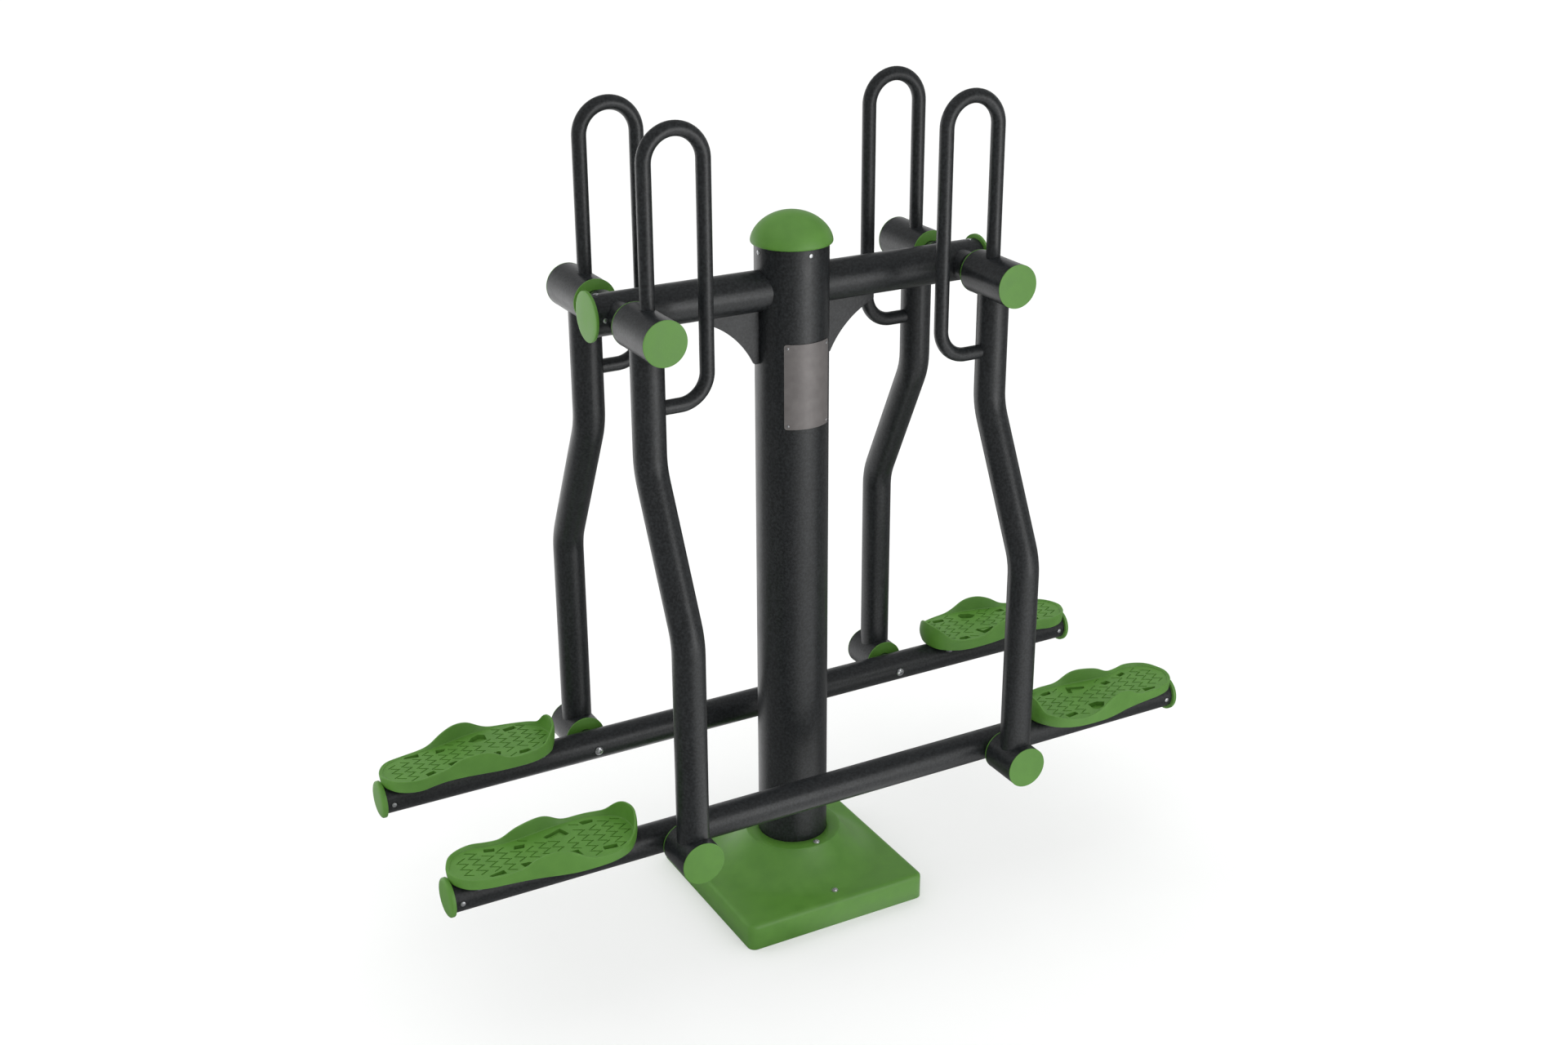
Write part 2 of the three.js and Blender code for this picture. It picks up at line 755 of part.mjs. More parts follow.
const crossbar_group = new THREE.Group();
crossbar_group.position.z = crossbar_height;
crossbar_group.add(piece("crossbar", makeCrossbar(), charcoal));
for (const [side, side_name] of side_names) {
  const bore = crossbar_radius - crossbar_wall;
  const end = crossbar_half_length;
  const cap = makeEndCap(side, crossbar_cap_diameter, crossbar_cap_flange, bore, end);
  const boss = piece(`crossbar_boss_${side_name}`, makeBoss(), charcoal);
  const shaft = piece(`pivot_shaft_${side_name}`, makeUpperShaft(), bright_steel);
  boss.position.x = side * pivot_reach;
  shaft.position.x = side * pivot_reach;
  crossbar_group.add(
    piece(`crossbar_gusset_${side_name}`, makeGusset(side), charcoal),
    piece(`crossbar_end_cap_${side_name}`, cap, green),
    boss,
    shaft,
  );
}
air_walker.add(crossbar_group);

for (const [end, end_name] of end_names) {
  for (const [side, side_name] of side_names) {
    const label = `${end_name}_${side_name}`;
    const lower_gap = side < 0 ? running_gap : open_pivot_gap;
    const arm = new THREE.Group();
    arm.position.set(side * pivot_reach, 0, crossbar_height);
    arm.add(
      piece(`${label}_leg`, makeLeg(end), charcoal),
      piece(`${label}_handle`, makeHandle(side, end), charcoal),
    );
    const hubs = [
      [
        "upper", 0, upper_hub_inner_face, upper_hub_outer_face, upper_bearing_diameter,
        upper_shaft_diameter, running_gap,
      ],
      [
        "lower", -arm_length, lower_hub_inner_face, lower_hub_outer_face, lower_bearing_diameter,
        lower_pin_diameter, lower_gap,
      ],
    ];
    for (const [level, height, inner_face, outer_face, bearing, shaft, clearance] of hubs) {
      const parts = [
        piece(
          `${label}_${level}_bearings`,
          makeBearings(end, inner_face, outer_face, bearing, shaft, clearance),
          bright_steel,
        ),
        piece(`${label}_${level}_outer_cap`, makeOuterCap(end, outer_face, bearing), green),
        piece(
          `${label}_${level}_inner_cap`,
          makeInnerCap(end, inner_face, bearing, shaft, clearance),
          green,
        ),
      ];
      for (const part of parts) {
        part.position.z = height;
        arm.add(part);
      }
    }
    air_walker.add(arm);
  }

  const beam_group = new THREE.Group();
  beam_group.position.set(0, end * beam_offset, beam_height);
  beam_group.add(piece(`${end_name}_beam`, makeBeam(), charcoal));
  for (const [side, side_name] of side_names) {
    const label = `${end_name}_${side_name}`;
    const bore = beam_radius - beam_wall;
    const tube_end = beam_half_length;
    const cap = makeEndCap(side, beam_cap_diameter, beam_cap_flange, bore, tube_end);
    const pin = piece(`${label}_pivot_pin`, makePivotPin(end), bright_steel);
    pin.position.x = side * pivot_reach;
    beam_group.add(
      piece(`${label}_beam_cap`, cap, green),
      piece(`${label}_footboard`, makeFootboard(side, end), green),
      pin,
    );
  }
  air_walker.add(beam_group);
}

export default air_walker;
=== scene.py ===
import math

import bmesh
import bpy
from mathutils import Matrix, Vector


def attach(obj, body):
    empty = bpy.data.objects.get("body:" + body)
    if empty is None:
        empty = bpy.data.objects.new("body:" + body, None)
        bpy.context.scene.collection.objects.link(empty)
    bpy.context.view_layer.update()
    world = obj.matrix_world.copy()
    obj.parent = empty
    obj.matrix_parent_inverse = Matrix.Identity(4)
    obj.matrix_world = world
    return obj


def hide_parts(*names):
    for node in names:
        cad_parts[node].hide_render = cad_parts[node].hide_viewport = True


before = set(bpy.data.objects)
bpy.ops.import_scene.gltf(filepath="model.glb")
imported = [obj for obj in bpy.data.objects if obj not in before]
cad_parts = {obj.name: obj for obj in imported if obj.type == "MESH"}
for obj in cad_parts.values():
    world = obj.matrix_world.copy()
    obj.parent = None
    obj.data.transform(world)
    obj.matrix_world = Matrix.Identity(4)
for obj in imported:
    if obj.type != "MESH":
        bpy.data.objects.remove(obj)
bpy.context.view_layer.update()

# Sizes, in metres. X runs along the crossbar, -Y is the front, Z is up.
POST_RADIUS = 0.06985
POST_FOOT = 0.0123
POST_TOP = 1.353
POST_RIVET_HEIGHT = 1.342
CROSSBAR_RADIUS = 0.03805
CROSSBAR_HEIGHT = 1.27
CROSSBAR_HALF_LENGTH = 0.4054
CROSSBAR_RIVET_REACH = 0.391
PIVOT_REACH = 0.358
BOSS_RADIUS = 0.0285
BOSS_HALF_LENGTH = 0.058
SHAFT_RADIUS = 0.02
SHAFT_HALF_LENGTH = 0.205
LEG_RADIUS = 0.03015
LEG_UPPER_OFFSET = 0.1342
LEG_LOWER_OFFSET = 0.2711
LEG_UPPER_RUN = 0.249
LEG_LOWER_RUN = 0.432
LEG_BEND_RADIUS = 0.12
ARM_LENGTH = 0.96
HUB_RADIUS = 0.04125
HUB_CAP_RADIUS = 0.0415
UPPER_HUB = (0.082, 0.212)
LOWER_HUB = (0.229, 0.3152)
CAP_FLANGE = 0.002
HANDLE_RADIUS = 0.01345
HANDLE_WIDTH = 0.111
HANDLE_SETBACK = 0.0038
HANDLE_RISE = 0.3423
HANDLE_DROP = 0.1412
HANDLE_BEND_RADIUS = 0.054
BEAM_RADIUS = 0.03015
BEAM_OFFSET = 0.1914
BEAM_HEIGHT = 0.31
BEAM_HALF_LENGTH = 0.7993
BEAM_RIVET_REACH = 0.786
SEAT_GAP = 0.0003
SIDES = ((-1, "left"), (1, "right"))
ENDS = ((-1, "front"), (1, "rear"))
# The four corners: the side along X, the end along Y, the label and the beam's body
CORNERS = [
    (side, end, f"{end_name}_{side_name}", f"{end_name}_beam")
    for end, end_name in ENDS for side, side_name in SIDES
]


# Working in edit mode

def rest():
    """Leaves edit mode and lets go of everything."""
    if bpy.context.mode != "OBJECT":
        bpy.ops.object.mode_set(mode="OBJECT")
    bpy.ops.object.select_all(action="DESELECT")


def take(*pieces):
    """Selects these pieces alone, the last one active."""
    rest()
    for piece in pieces:
        piece.select_set(True)
    bpy.context.view_layer.objects.active = pieces[-1]


def begun(name):
    """The primitive that was just added, named, with its place in its mesh."""
    piece = bpy.context.active_object
    piece.name = piece.data.name = name
    bpy.ops.object.transform_apply(location=True, rotation=True, scale=True)
    return piece


def enter(piece):
    take(piece)
    bpy.ops.object.mode_set(mode="EDIT")


def pick(piece, kind, test):
    """In edit mode, selects only the parts of one kind that pass the test."""
    bpy.ops.mesh.select_mode(type=kind)
    bpy.ops.mesh.select_all(action="DESELECT")
    mesh = bmesh.from_edit_mesh(piece.data)
    parts = {"VERT": mesh.verts, "EDGE": mesh.edges, "FACE": mesh.faces}[kind]
    for part in parts:
        if test(part):
            part.select_set(True)
    mesh.select_flush_mode()
    bmesh.update_edit_mesh(piece.data)


def upright(edge):
    return abs(edge.verts[0].co.z - edge.verts[1].co.z) > 1e-4


def middle(part):
    """The middle of an edge or a face."""
    return sum((vert.co for vert in part.verts), Vector()) / len(part.verts)


def tidied(piece, angle=35):
    """Welds doubles, turns the faces outwards and shades the piece smooth up to an angle."""
    enter(piece)
    bpy.ops.mesh.select_all(action="SELECT")
    bpy.ops.mesh.remove_doubles(threshold=1e-6)
    bpy.ops.mesh.normals_make_consistent(inside=False)
    rest()
    take(piece)
    bpy.ops.object.shade_smooth_by_angle(angle=math.radians(angle))
    return piece


def joined(name, *pieces):
    take(*pieces)
    bpy.ops.object.join()
    piece = bpy.context.active_object
    piece.name = piece.data.name = name
    return piece


def bevelled(piece, width, segments, test):
    """Rounds the edges that pass the test."""
    enter(piece)
    pick(piece, "EDGE", test)
    bpy.ops.mesh.bevel(offset=width, segments=segments, profile=0.5, affect="EDGES")
    rest()
    return piece


def copied(piece, name, scale=(1, 1, 1), move=(0, 0, 0)):
    """A copy with its own mesh, mirrored where a scale is negative, then moved."""
    mesh = piece.data.copy()
    mesh.transform(Matrix.Translation(move) @ Matrix.Diagonal((*scale, 1)))
    if scale[0] * scale[1] * scale[2] < 0:
        mesh.flip_normals()
    twin = bpy.data.objects.new(name, mesh)
    mesh.name = name
    bpy.context.scene.collection.objects.link(twin)
    return twin


def turned_to(piece, direction, move=(0, 0, 0)):
    """Turns a piece made along +Z so that it points in a direction, then moves it."""
    turn = Vector((0, 0, 1)).rotation_difference(Vector(direction)).to_matrix().to_4x4()
    piece.data.transform(Matrix.Translation(move) @ turn)
    return piece


# Shaping pieces

def bent_tube(name, radius, start, heading, moves, sides=48):
    """A round bar drawn out of a disc. A move is a straight length, or an angle in degrees with
    the bend's radius and the side that it bends to."""
    point, heading = Vector(start), Vector(heading).normalized()
    rest()
    turn = Vector((0, 0, 1)).rotation_difference(heading).to_euler()
    bpy.ops.mesh.primitive_circle_add(
        vertices=sides, radius=radius, fill_type="NGON", location=point, rotation=turn
    )
    piece = begun(name)
    enter(piece)
    bpy.ops.mesh.select_all(action="SELECT")
    for move in moves:
        if isinstance(move, tuple):
            angle, bend_radius, side = math.radians(move[0]), move[1], Vector(move[2]).normalized()
            centre = point + side * bend_radius
            bpy.ops.mesh.spin(
                steps=max(2, round(math.degrees(angle) / 5)), angle=angle,
                center=centre, axis=side.cross(heading),
            )
            point = centre - side * bend_radius * math.cos(angle)
            point += heading * bend_radius * math.sin(angle)
            heading = heading * math.cos(angle) + side * math.sin(angle)
        else:
            step = heading * move
            bpy.ops.mesh.extrude_region_move(TRANSFORM_OT_translate={"value": step})
            point = point + step
    rest()
    return tidied(piece)


def turned(name, profile, sides=96):
    """A round piece spun round Z from a line of (radius, height) points."""
    rest()
    bpy.ops.mesh.primitive_plane_add(size=0.001, location=(0, 0, 0))
    piece = begun(name)
    enter(piece)
    bpy.ops.mesh.select_mode(type="VERT")
    bpy.ops.mesh.select_all(action="SELECT")
    bpy.ops.mesh.merge(type="CENTER")
    radius, height = profile[0]
    bpy.ops.transform.translate(value=(radius, 0, height))
    for (r0, z0), (r1, z1) in zip(profile, profile[1:]):
        step = (r1 - r0, 0, z1 - z0)
        bpy.ops.mesh.extrude_region_move(TRANSFORM_OT_translate={"value": step})
    bpy.ops.mesh.select_all(action="SELECT")
    bpy.ops.mesh.spin(steps=sides, angle=math.tau, center=(0, 0, 0), axis=(0, 0, 1))
    bpy.ops.mesh.select_all(action="SELECT")
    bpy.ops.mesh.remove_doubles(threshold=1e-6)
    rest()
    return tidied(piece)


def arc(centre, radii, start, end, steps):
    """Points along an arc round a centre, angles in degrees. Its two radii may differ."""
    (x, y), (a, b) = centre, radii
    angles = [math.radians(start + (end - start) * i / steps) for i in range(steps + 1)]
    return [(x + a * math.cos(angle), y + b * math.sin(angle)) for angle in angles]


def slab(name, outline, depth):
    """A block: a flat outline of places, drawn out by a depth."""
    rest()
    bpy.ops.mesh.primitive_circle_add(vertices=len(outline), radius=0.1, fill_type="NGON")
    block = begun(name)
    enter(block)
    mesh = bmesh.from_edit_mesh(block.data)
    for vert, place in zip(mesh.verts, outline):
        vert.co = place
    bmesh.update_edit_mesh(block.data)
    bpy.ops.mesh.select_all(action="SELECT")
    bpy.ops.mesh.extrude_region_move(TRANSFORM_OT_translate={"value": depth})
    bpy.ops.mesh.select_all(action="SELECT")
    bpy.ops.mesh.normals_make_consistent(inside=False)
    rest()
    return block


def prism(name, corners, low, high):
    """An upright block on a level outline."""
    return slab(name, [(x, y, low) for x, y in corners], (0, 0, high - low))


def skin(name, rings, looped=False):
    """A surface drawn through closed rings of points: a circle is laid on the first, and each
    next ring is extruded out of the one before and set in its place. A looped skin is bridged
    from its last ring back to its first, and any other has both ends filled."""
    rest()
    bpy.ops.mesh.primitive_circle_add(vertices=len(rings[0]), radius=0.1)
    piece = begun(name)
    enter(piece)
    mesh = bmesh.from_edit_mesh(piece.data)
    mesh.verts.ensure_lookup_table()
    front = list(mesh.verts)
    for vert, place in zip(front, rings[0]):
        vert.co = place
    bpy.ops.mesh.select_all(action="SELECT")
    for ring in rings[1:]:
        before = [vert.index for vert in front]
        bpy.ops.mesh.extrude_edges_move()
        mesh = bmesh.from_edit_mesh(piece.data)
        mesh.verts.ensure_lookup_table()
        front = []
        for index, place in zip(before, ring):
            old = mesh.verts[index]
            new = next(e.other_vert(old) for e in old.link_edges if e.other_vert(old).select)
            new.co = place
            front.append(new)
        mesh.verts.index_update()
    bmesh.update_edit_mesh(piece.data)
    if looped:
        pick(piece, "EDGE", lambda edge: edge.is_boundary)
        bpy.ops.mesh.bridge_edge_loops()
    else:
        for ring in (rings[0], rings[-1]):
            ends = {tuple(round(c, 6) for c in place) for place in ring}
            pick(piece, "EDGE", lambda edge: edge.is_boundary and all(
                tuple(round(c, 6) for c in vert.co) in ends for vert in edge.verts
            ))
            bpy.ops.mesh.edge_face_add()
    rest()
    return piece


# Materials

def colour(code):
    """A #rrggbb colour as Blender's linear red, green, blue and alpha."""
    parts = [int(code[i:i + 2], 16) / 255 for i in (1, 3, 5)]
    linear = [c / 12.92 if c <= 0.04045 else ((c + 0.055) / 1.055) ** 2.4 for c in parts]
    return (*linear, 1.0)


def add_node(tree, kind, values=None, links=None, **settings):
    """Adds a node, with its settings, its socket values and what is linked into it."""
    node = tree.nodes.new(kind)
    for name, value in settings.items():
        setattr(node, name, value)
    for name, value in (values or {}).items():
        node.inputs[name].default_value = value
    for name, source in (links or {}).items():
        tree.links.new(source, node.inputs[name])
    return node


def new_material(name, **sockets):
    material = bpy.data.materials.new(name)
    material.use_nodes = True
    tree = material.node_tree
    shader = tree.nodes["Principled BSDF"]
    for socket, value in sockets.items():
        shader.inputs[socket.replace("_", " ")].default_value = value
    place = add_node(tree, "ShaderNodeTexCoord").outputs["Object"]
    return material, tree, shader, place


def make_finish(name, grain, drift, shades, roughness, relief, specks=None, **sockets):
    """A material whose shade and roughness follow its drift, while its grain raises the surface
    and, where it has specks, colours it. Grain and drift are (size in metres, detail), shades
    (start, end, dark, light) along the drift, specks the same along the grain with their share
    in front, and relief (strength, height in metres)."""
    material, tree, shader, place = new_material(name, **sockets)
    fine, broad = (
        add_node(
            tree, "ShaderNodeTexNoise", {"Scale": 1 / size, "Detail": detail}, {"Vector": place}
        ).outputs["Fac"]
        for size, detail in (grain, drift)
    )

    def shaded(pattern, start, end, dark, light):
        """A colour that goes from dark to light as the pattern goes from start to end."""
        share = add_node(
            tree, "ShaderNodeMapRange", {"From Min": start, "From Max": end}, {"Value": pattern}
        )
        mix = add_node(
            tree, "ShaderNodeMix", {"A": colour(dark), "B": colour(light)},
            {"Factor": share.outputs["Result"]}, data_type="RGBA",
        )
        return mix.outputs["Result"]

    shade = shaded(broad, *shades)
    if specks:
        amount, *spots = specks
        shade = add_node(
            tree, "ShaderNodeMix", {"Factor": amount}, {"A": shade, "B": shaded(fine, *spots)},
            data_type="RGBA",
        ).outputs["Result"]
    tree.links.new(shade, shader.inputs["Base Color"])
    low, high = roughness
    gloss = add_node(
        tree, "ShaderNodeMapRange",
        {"From Min": 0.3, "From Max": 0.7, "To Min": low, "To Max": high}, {"Value": broad},
    )
    tree.links.new(gloss.outputs["Result"], shader.inputs["Roughness"])
    strength, height = relief
    bump = add_node(
        tree, "ShaderNodeBump", {"Strength": strength, "Distance": height}, {"Height": fine}
    )
    tree.links.new(bump.outputs["Normal"], shader.inputs["Normal"])
    return material


def make_metal(name, size, dark, light, roughness):
    """A bare metal with one fine pattern for its shade, gloss and relief."""
    pattern = (size, 2)
    shades = (0.3, 0.7, dark, light)
    return make_finish(name, pattern, pattern, shades, roughness, (0.15, 0.0001), Metallic=1.0)


# Baked powder coat: near black, with a soft satin band along every tube. Its orange peel and
# its light and dark specks break the bands up into a fine mottle. Both are under a millimetre
# wide on the real tubes and would not show, so they are drawn coarser.
charcoal = make_finish(
    "charcoal_powder_coat", grain=(0.0045, 2), drift=(0.05, 3),
    shades=(0.35, 0.65, "#181a1c", "#1d1f21"), roughness=(0.32, 0.4), relief=(0.5, 0.0004),
    specks=(0.6, 0.35, 0.7, "#0e1011", "#2c2f31"), IOR=1.45,
)
# Thick moulded plastic with a leathery skin: a clear leaf green that stays matt, with only a
# pale, wide sheen on its upper faces, and a slow drift that keeps wide faces alive. The skin's
# grain is drawn coarser than the real one, which is too fine to show.
green = make_finish(
    "leaf_green_moulded_plastic", grain=(0.0035, 2), drift=(0.03, 3),
    shades=(0.3, 0.7, "#4c7d29", "#53852e"), roughness=(0.46, 0.54), relief=(0.3, 0.0003),
    IOR=1.5,
)
# Printed aluminium sheet: a warm taupe ink that hides most of the metal, slightly uneven, with
# a weak satin gleam where the sheet bends round the post.
plate_print = make_finish(
    "taupe_printed_aluminium", grain=(0.0006, 2), drift=(0.02, 2),
    shades=(0.3, 0.7, "#666261", "#706c6b"), roughness=(0.42, 0.44), relief=(0.1, 0.0001),
    Metallic=0.2, IOR=1.5,
)
# Turned steel: a clean, light shine with a slight shimmer from the tool's fine rings.
bright_steel = make_metal("turned_stainless_steel", 0.0008, "#b4b6b8", "#cfd1d3", (0.2, 0.32))
# Zinc from the hot bath: grey and dull, with the light and dark flakes of its crystals.
zinc = make_metal("galvanised_steel", 0.004, "#85888b", "#a3a6a9", (0.38, 0.55))
# Pressed aluminium: small pale dots against the dark tubes, with a soft white glint.
rivet_metal = make_metal("plain_aluminium", 0.001, "#b9bbbd", "#d6d8da", (0.3, 0.42))
# Tumbled stainless steel: paler and more matt than the shafts, so that the heads stay light.
screw_metal = make_metal("pale_stainless_steel", 0.001, "#d2d4d5", "#eceded", (0.34, 0.48))


def settled(piece, body, material, *nodes):
    """Gives a finished piece its material and its body, and hides the CAD nodes that it stands for.
    """
    piece.data.materials.clear()
    piece.data.materials.append(material)
    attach(piece, body)
    if nodes:
        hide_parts(*nodes)
    return piece


# The standing frame

def make_post():
    length = POST_TOP - SEAT_GAP - POST_FOOT
    post = bent_tube("post_tube", POST_RADIUS, (0, 0, POST_FOOT), (0, 0, 1), [length], 96)
    bevelled(post, 0.001, 2, lambda edge: middle(edge).z > POST_TOP - 0.001)
    settled(tidied(post), "frame", charcoal, "post")


def make_post_cap():
    radius, rim, height = 0.0766, POST_TOP + 0.004, 0.0545
    crown = [
        (radius * math.cos(a), rim + height * math.sin(a) ** 1.163)
        for a in (math.radians(90 * i / 28) for i in range(28))
    ]
    spigot = [(0, POST_TOP - 0.028), (0.0643, POST_TOP - 0.028), (0.0653, POST_TOP - 0.027)]
    lip = [
        (0.0653, POST_TOP), (radius - 0.0032, POST_TOP), (radius - 0.0016, POST_TOP + 0.0006),
        (radius - 0.0005, POST_TOP + 0.0019),
    ]
    settled(
        turned("post_cap_dome", [*spigot, *lip, *crown, (0, rim + height)]),
        "frame", green, "post_cap",
    )


def make_base_cover():
    half, edge, corner, wall = 0.1991, 0.009, 0.016, 0.004
    collar, top, side_height = 0.098, 0.119, 0.055
    # From this reach outwards the round flare turns into the square rim.
    round_reach = 0.165
    # The cover sits off the post's axis, towards the front left.
    aside = Vector((-0.0087, -0.0087, 0))
    slope_end = half - edge + aside.x

    def square(inset, z):
        """The rounded square, drawn in, at a height."""
        bend = max(corner - inset, 0.003)
        core = half - inset - bend
        quarter = [Vector((half - inset, core * (i / 10 - 1), z)) for i in range(20)]
        quarter += [
            Vector((core + bend * math.cos(a), core + bend * math.sin(a), z))
            for a in (math.radians(9 * i) for i in range(10))
        ]
        return [
            Matrix.Rotation(math.pi / 2 * turn, 3, "Z") @ point + aside
            for turn in range(4) for point in quarter
        ]

    def flare(radius):
        share = min(max((radius - collar) / (slope_end - collar), 0), 1)
        return side_height + (top - 0.003 - side_height) * (1 - share) ** 2

    compass = [Vector((place.x, place.y, 0)).normalized() for place in square(0, 0)]

    def circle(radius, z):
        return [way * radius + Vector((0, 0, z)) for way in compass]

    rings = [circle(r, z) for r, z in (
        (POST_RADIUS + 0.0003, top - 0.004), (POST_RADIUS + 0.0004, top - 0.001), (0.0712, top),
        (0.0964, top), (0.0974, top - 0.0004), (0.0979, top - 0.0012), (collar, top - 0.0022),
        (0.0984, top - 0.0036),
    )]
    for i in range(1, 12):
        radius = collar + (round_reach - collar) * i / 11
        rings.append(circle(radius, flare(radius)))
    rim = square(edge, 0)
    for i in range(1, 9):
        ring = []
        for way, place in zip(compass, rim):
            spot = (way * round_reach).lerp(place, i / 8)
            ring.append(Vector((spot.x, spot.y, flare(spot.length))))
        rings.append(ring)
    for i in range(1, 7):
        a = math.radians(15 * i)
        rings.append(square(edge * (1 - math.sin(a)), side_height - edge * (1 - math.cos(a))))
    rings += [square(0, 0.0008), square(0.0008, 0), square(wall, 0), square(wall, 0.042)]
    rings.append(square(edge + wall, side_height - wall))
    for i in range(10, -1, -2):
        radius = collar - wall + (round_reach - collar) * i / 10
        rings.append(circle(radius, flare(radius + wall) - wall))
    rings.append(circle(POST_RADIUS + 0.0003, top - wall))
    cover = skin("base_cover_hood", rings, looped=True)
    settled(tidied(cover, 50), "frame", green, "base_cover")


def make_crossbar():
    bar = bent_tube(
        "crossbar_tube", CROSSBAR_RADIUS, (-CROSSBAR_HALF_LENGTH, 0, CROSSBAR_HEIGHT), (1, 0, 0),
        [2 * CROSSBAR_HALF_LENGTH], 64,
    )
    settled(bar, "frame", charcoal, "crossbar")
    for side, name in SIDES:
        boss = bent_tube(
            f"boss_tube_{name}", BOSS_RADIUS,
            (side * PIVOT_REACH, -BOSS_HALF_LENGTH, CROSSBAR_HEIGHT), (0, 1, 0),
            [2 * BOSS_HALF_LENGTH], 64,
        )
        bevelled(boss, 0.0012, 2, lambda edge: abs(abs(middle(edge).y) - BOSS_HALF_LENGTH) < 1e-4)
        settled(tidied(boss), "frame", charcoal, f"crossbar_boss_{name}")
        shaft = bent_tube(
            f"pivot_shaft_bar_{name}", SHAFT_RADIUS,
            (side * PIVOT_REACH, -SHAFT_HALF_LENGTH, CROSSBAR_HEIGHT), (0, 1, 0),
            [2 * SHAFT_HALF_LENGTH], 64,
        )
        settled(shaft, "frame", bright_steel, f"pivot_shaft_{name}")
        make_gusset(side, name)


def make_gusset(side, name):
    """A plate under the crossbar with a hollow arc between its two lips."""
    inner, top = POST_RADIUS + SEAT_GAP, CROSSBAR_HEIGHT - CROSSBAR_RADIUS - SEAT_GAP
    reach, drop, lip, radius, thickness = 0.106, 0.101, 0.0105, 0.180, 0.006
    start = Vector((inner + reach, 0, top - lip))
    end = Vector((inner + lip, 0, top - drop))
    chord = end - start
    away = Vector((-chord.z, 0, chord.x)).normalized()
    if away.z > 0:
        away = -away
    centre = (start + end) / 2 + away * math.sqrt(radius ** 2 - (chord.length / 2) ** 2)
    first = math.atan2(start.z - centre.z, start.x - centre.x)
    last = math.atan2(end.z - centre.z, end.x - centre.x)
    line = [Vector((inner, 0, top)), Vector((inner + reach, 0, top))]
    for i in range(33):
        a = first + (last - first) * i / 32
        line.append(centre + Vector((radius * math.cos(a), 0, radius * math.sin(a))))
    line.append(Vector((inner, 0, top - drop)))
    outline = [(side * place.x, -thickness / 2, place.z) for place in line]
    gusset = tidied(slab(f"gusset_plate_{name}", outline, (0, thickness, 0)))
    tips = (Vector((side * start.x, 0, start.z)), Vector((side * end.x, 0, end.z)))
    bevelled(gusset, 0.003, 5, lambda edge: min((middle(edge) - tip).length for tip in tips) < 1e-4)
    bevelled(gusset, 0.0008, 2, lambda edge: abs(edge.verts[0].co.y - edge.verts[1].co.y) < 1e-6)
    settled(tidied(gusset, 30), "frame", charcoal, f"crossbar_gusset_{name}")


def make_end_cap(name, radius, rim, flange, spigot, side, place, body, node):
    """A plug for a tube's end, pointing along X: a straight rim under a crowned face."""
    profile = [(0, -0.012), (spigot - 0.001, -0.012), (spigot, -0.011), (spigot, 0)]
    profile += [(radius - 0.001, 0), (radius - 0.0003, 0.0003), (radius, 0.001)]
    for i in range(16):
        a = math.radians(90 * i / 16)
        profile.append((radius * math.cos(a) ** 0.4, rim + (flange - rim) * math.sin(a)))
    cap = turned(name, [*profile, (0, flange)])
    turned_to(cap, (side, 0, 0), place)
    settled(cap, body, green, node)


make_post()
make_post_cap()
make_base_cover()
make_crossbar()
for side, name in SIDES:
    make_end_cap(
        f"crossbar_cap_{name}", 0.046, 0.0048, 0.0065, 0.0342, side,
        (side * (CROSSBAR_HALF_LENGTH + SEAT_GAP), 0, CROSSBAR_HEIGHT), "frame",
        f"crossbar_end_cap_{name}",
    )


# The swinging arms

def make_leg(side, end, label):
    x = side * PIVOT_REACH
    shift = LEG_LOWER_OFFSET - LEG_UPPER_OFFSET
    drop = ARM_LENGTH - LEG_LOWER_RUN - LEG_UPPER_RUN
    lean, middle_run = math.atan2(shift, drop), math.hypot(shift, drop)
    cut = LEG_BEND_RADIUS * math.tan(lean / 2)
    out = Vector((0, end, 0))
    back = Vector((0, -end * math.cos(lean), -math.sin(lean)))
    tube = bent_tube(
        f"leg_tube_{label}", LEG_RADIUS,
        (x, end * LEG_UPPER_OFFSET, CROSSBAR_HEIGHT - 0.01), (0, 0, -1),
        [
            LEG_UPPER_RUN - cut - 0.01, (math.degrees(lean), LEG_BEND_RADIUS, out),
            middle_run - 2 * cut, (math.degrees(lean), LEG_BEND_RADIUS, back),
            LEG_LOWER_RUN - cut - 0.01,
        ],
    )
    hubs = []
    for (near, far), z in ((UPPER_HUB, CROSSBAR_HEIGHT), (LOWER_HUB, BEAM_HEIGHT)):
        near, far = near + CAP_FLANGE, far - CAP_FLANGE
        hub = bent_tube("hub", HUB_RADIUS, (x, end * near, z), (0, end, 0), [far - near], 64)
        faces = (end * near, end * far)
        bevelled(hub, 0.0008, 2, lambda edge: min(abs(middle(edge).y - f) for f in faces) < 1e-5)
        hubs.append(hub)
    leg = joined(f"leg_{label}", *hubs, tube)
    settled(tidied(leg), f"{label}_arm", charcoal, f"{label}_leg")


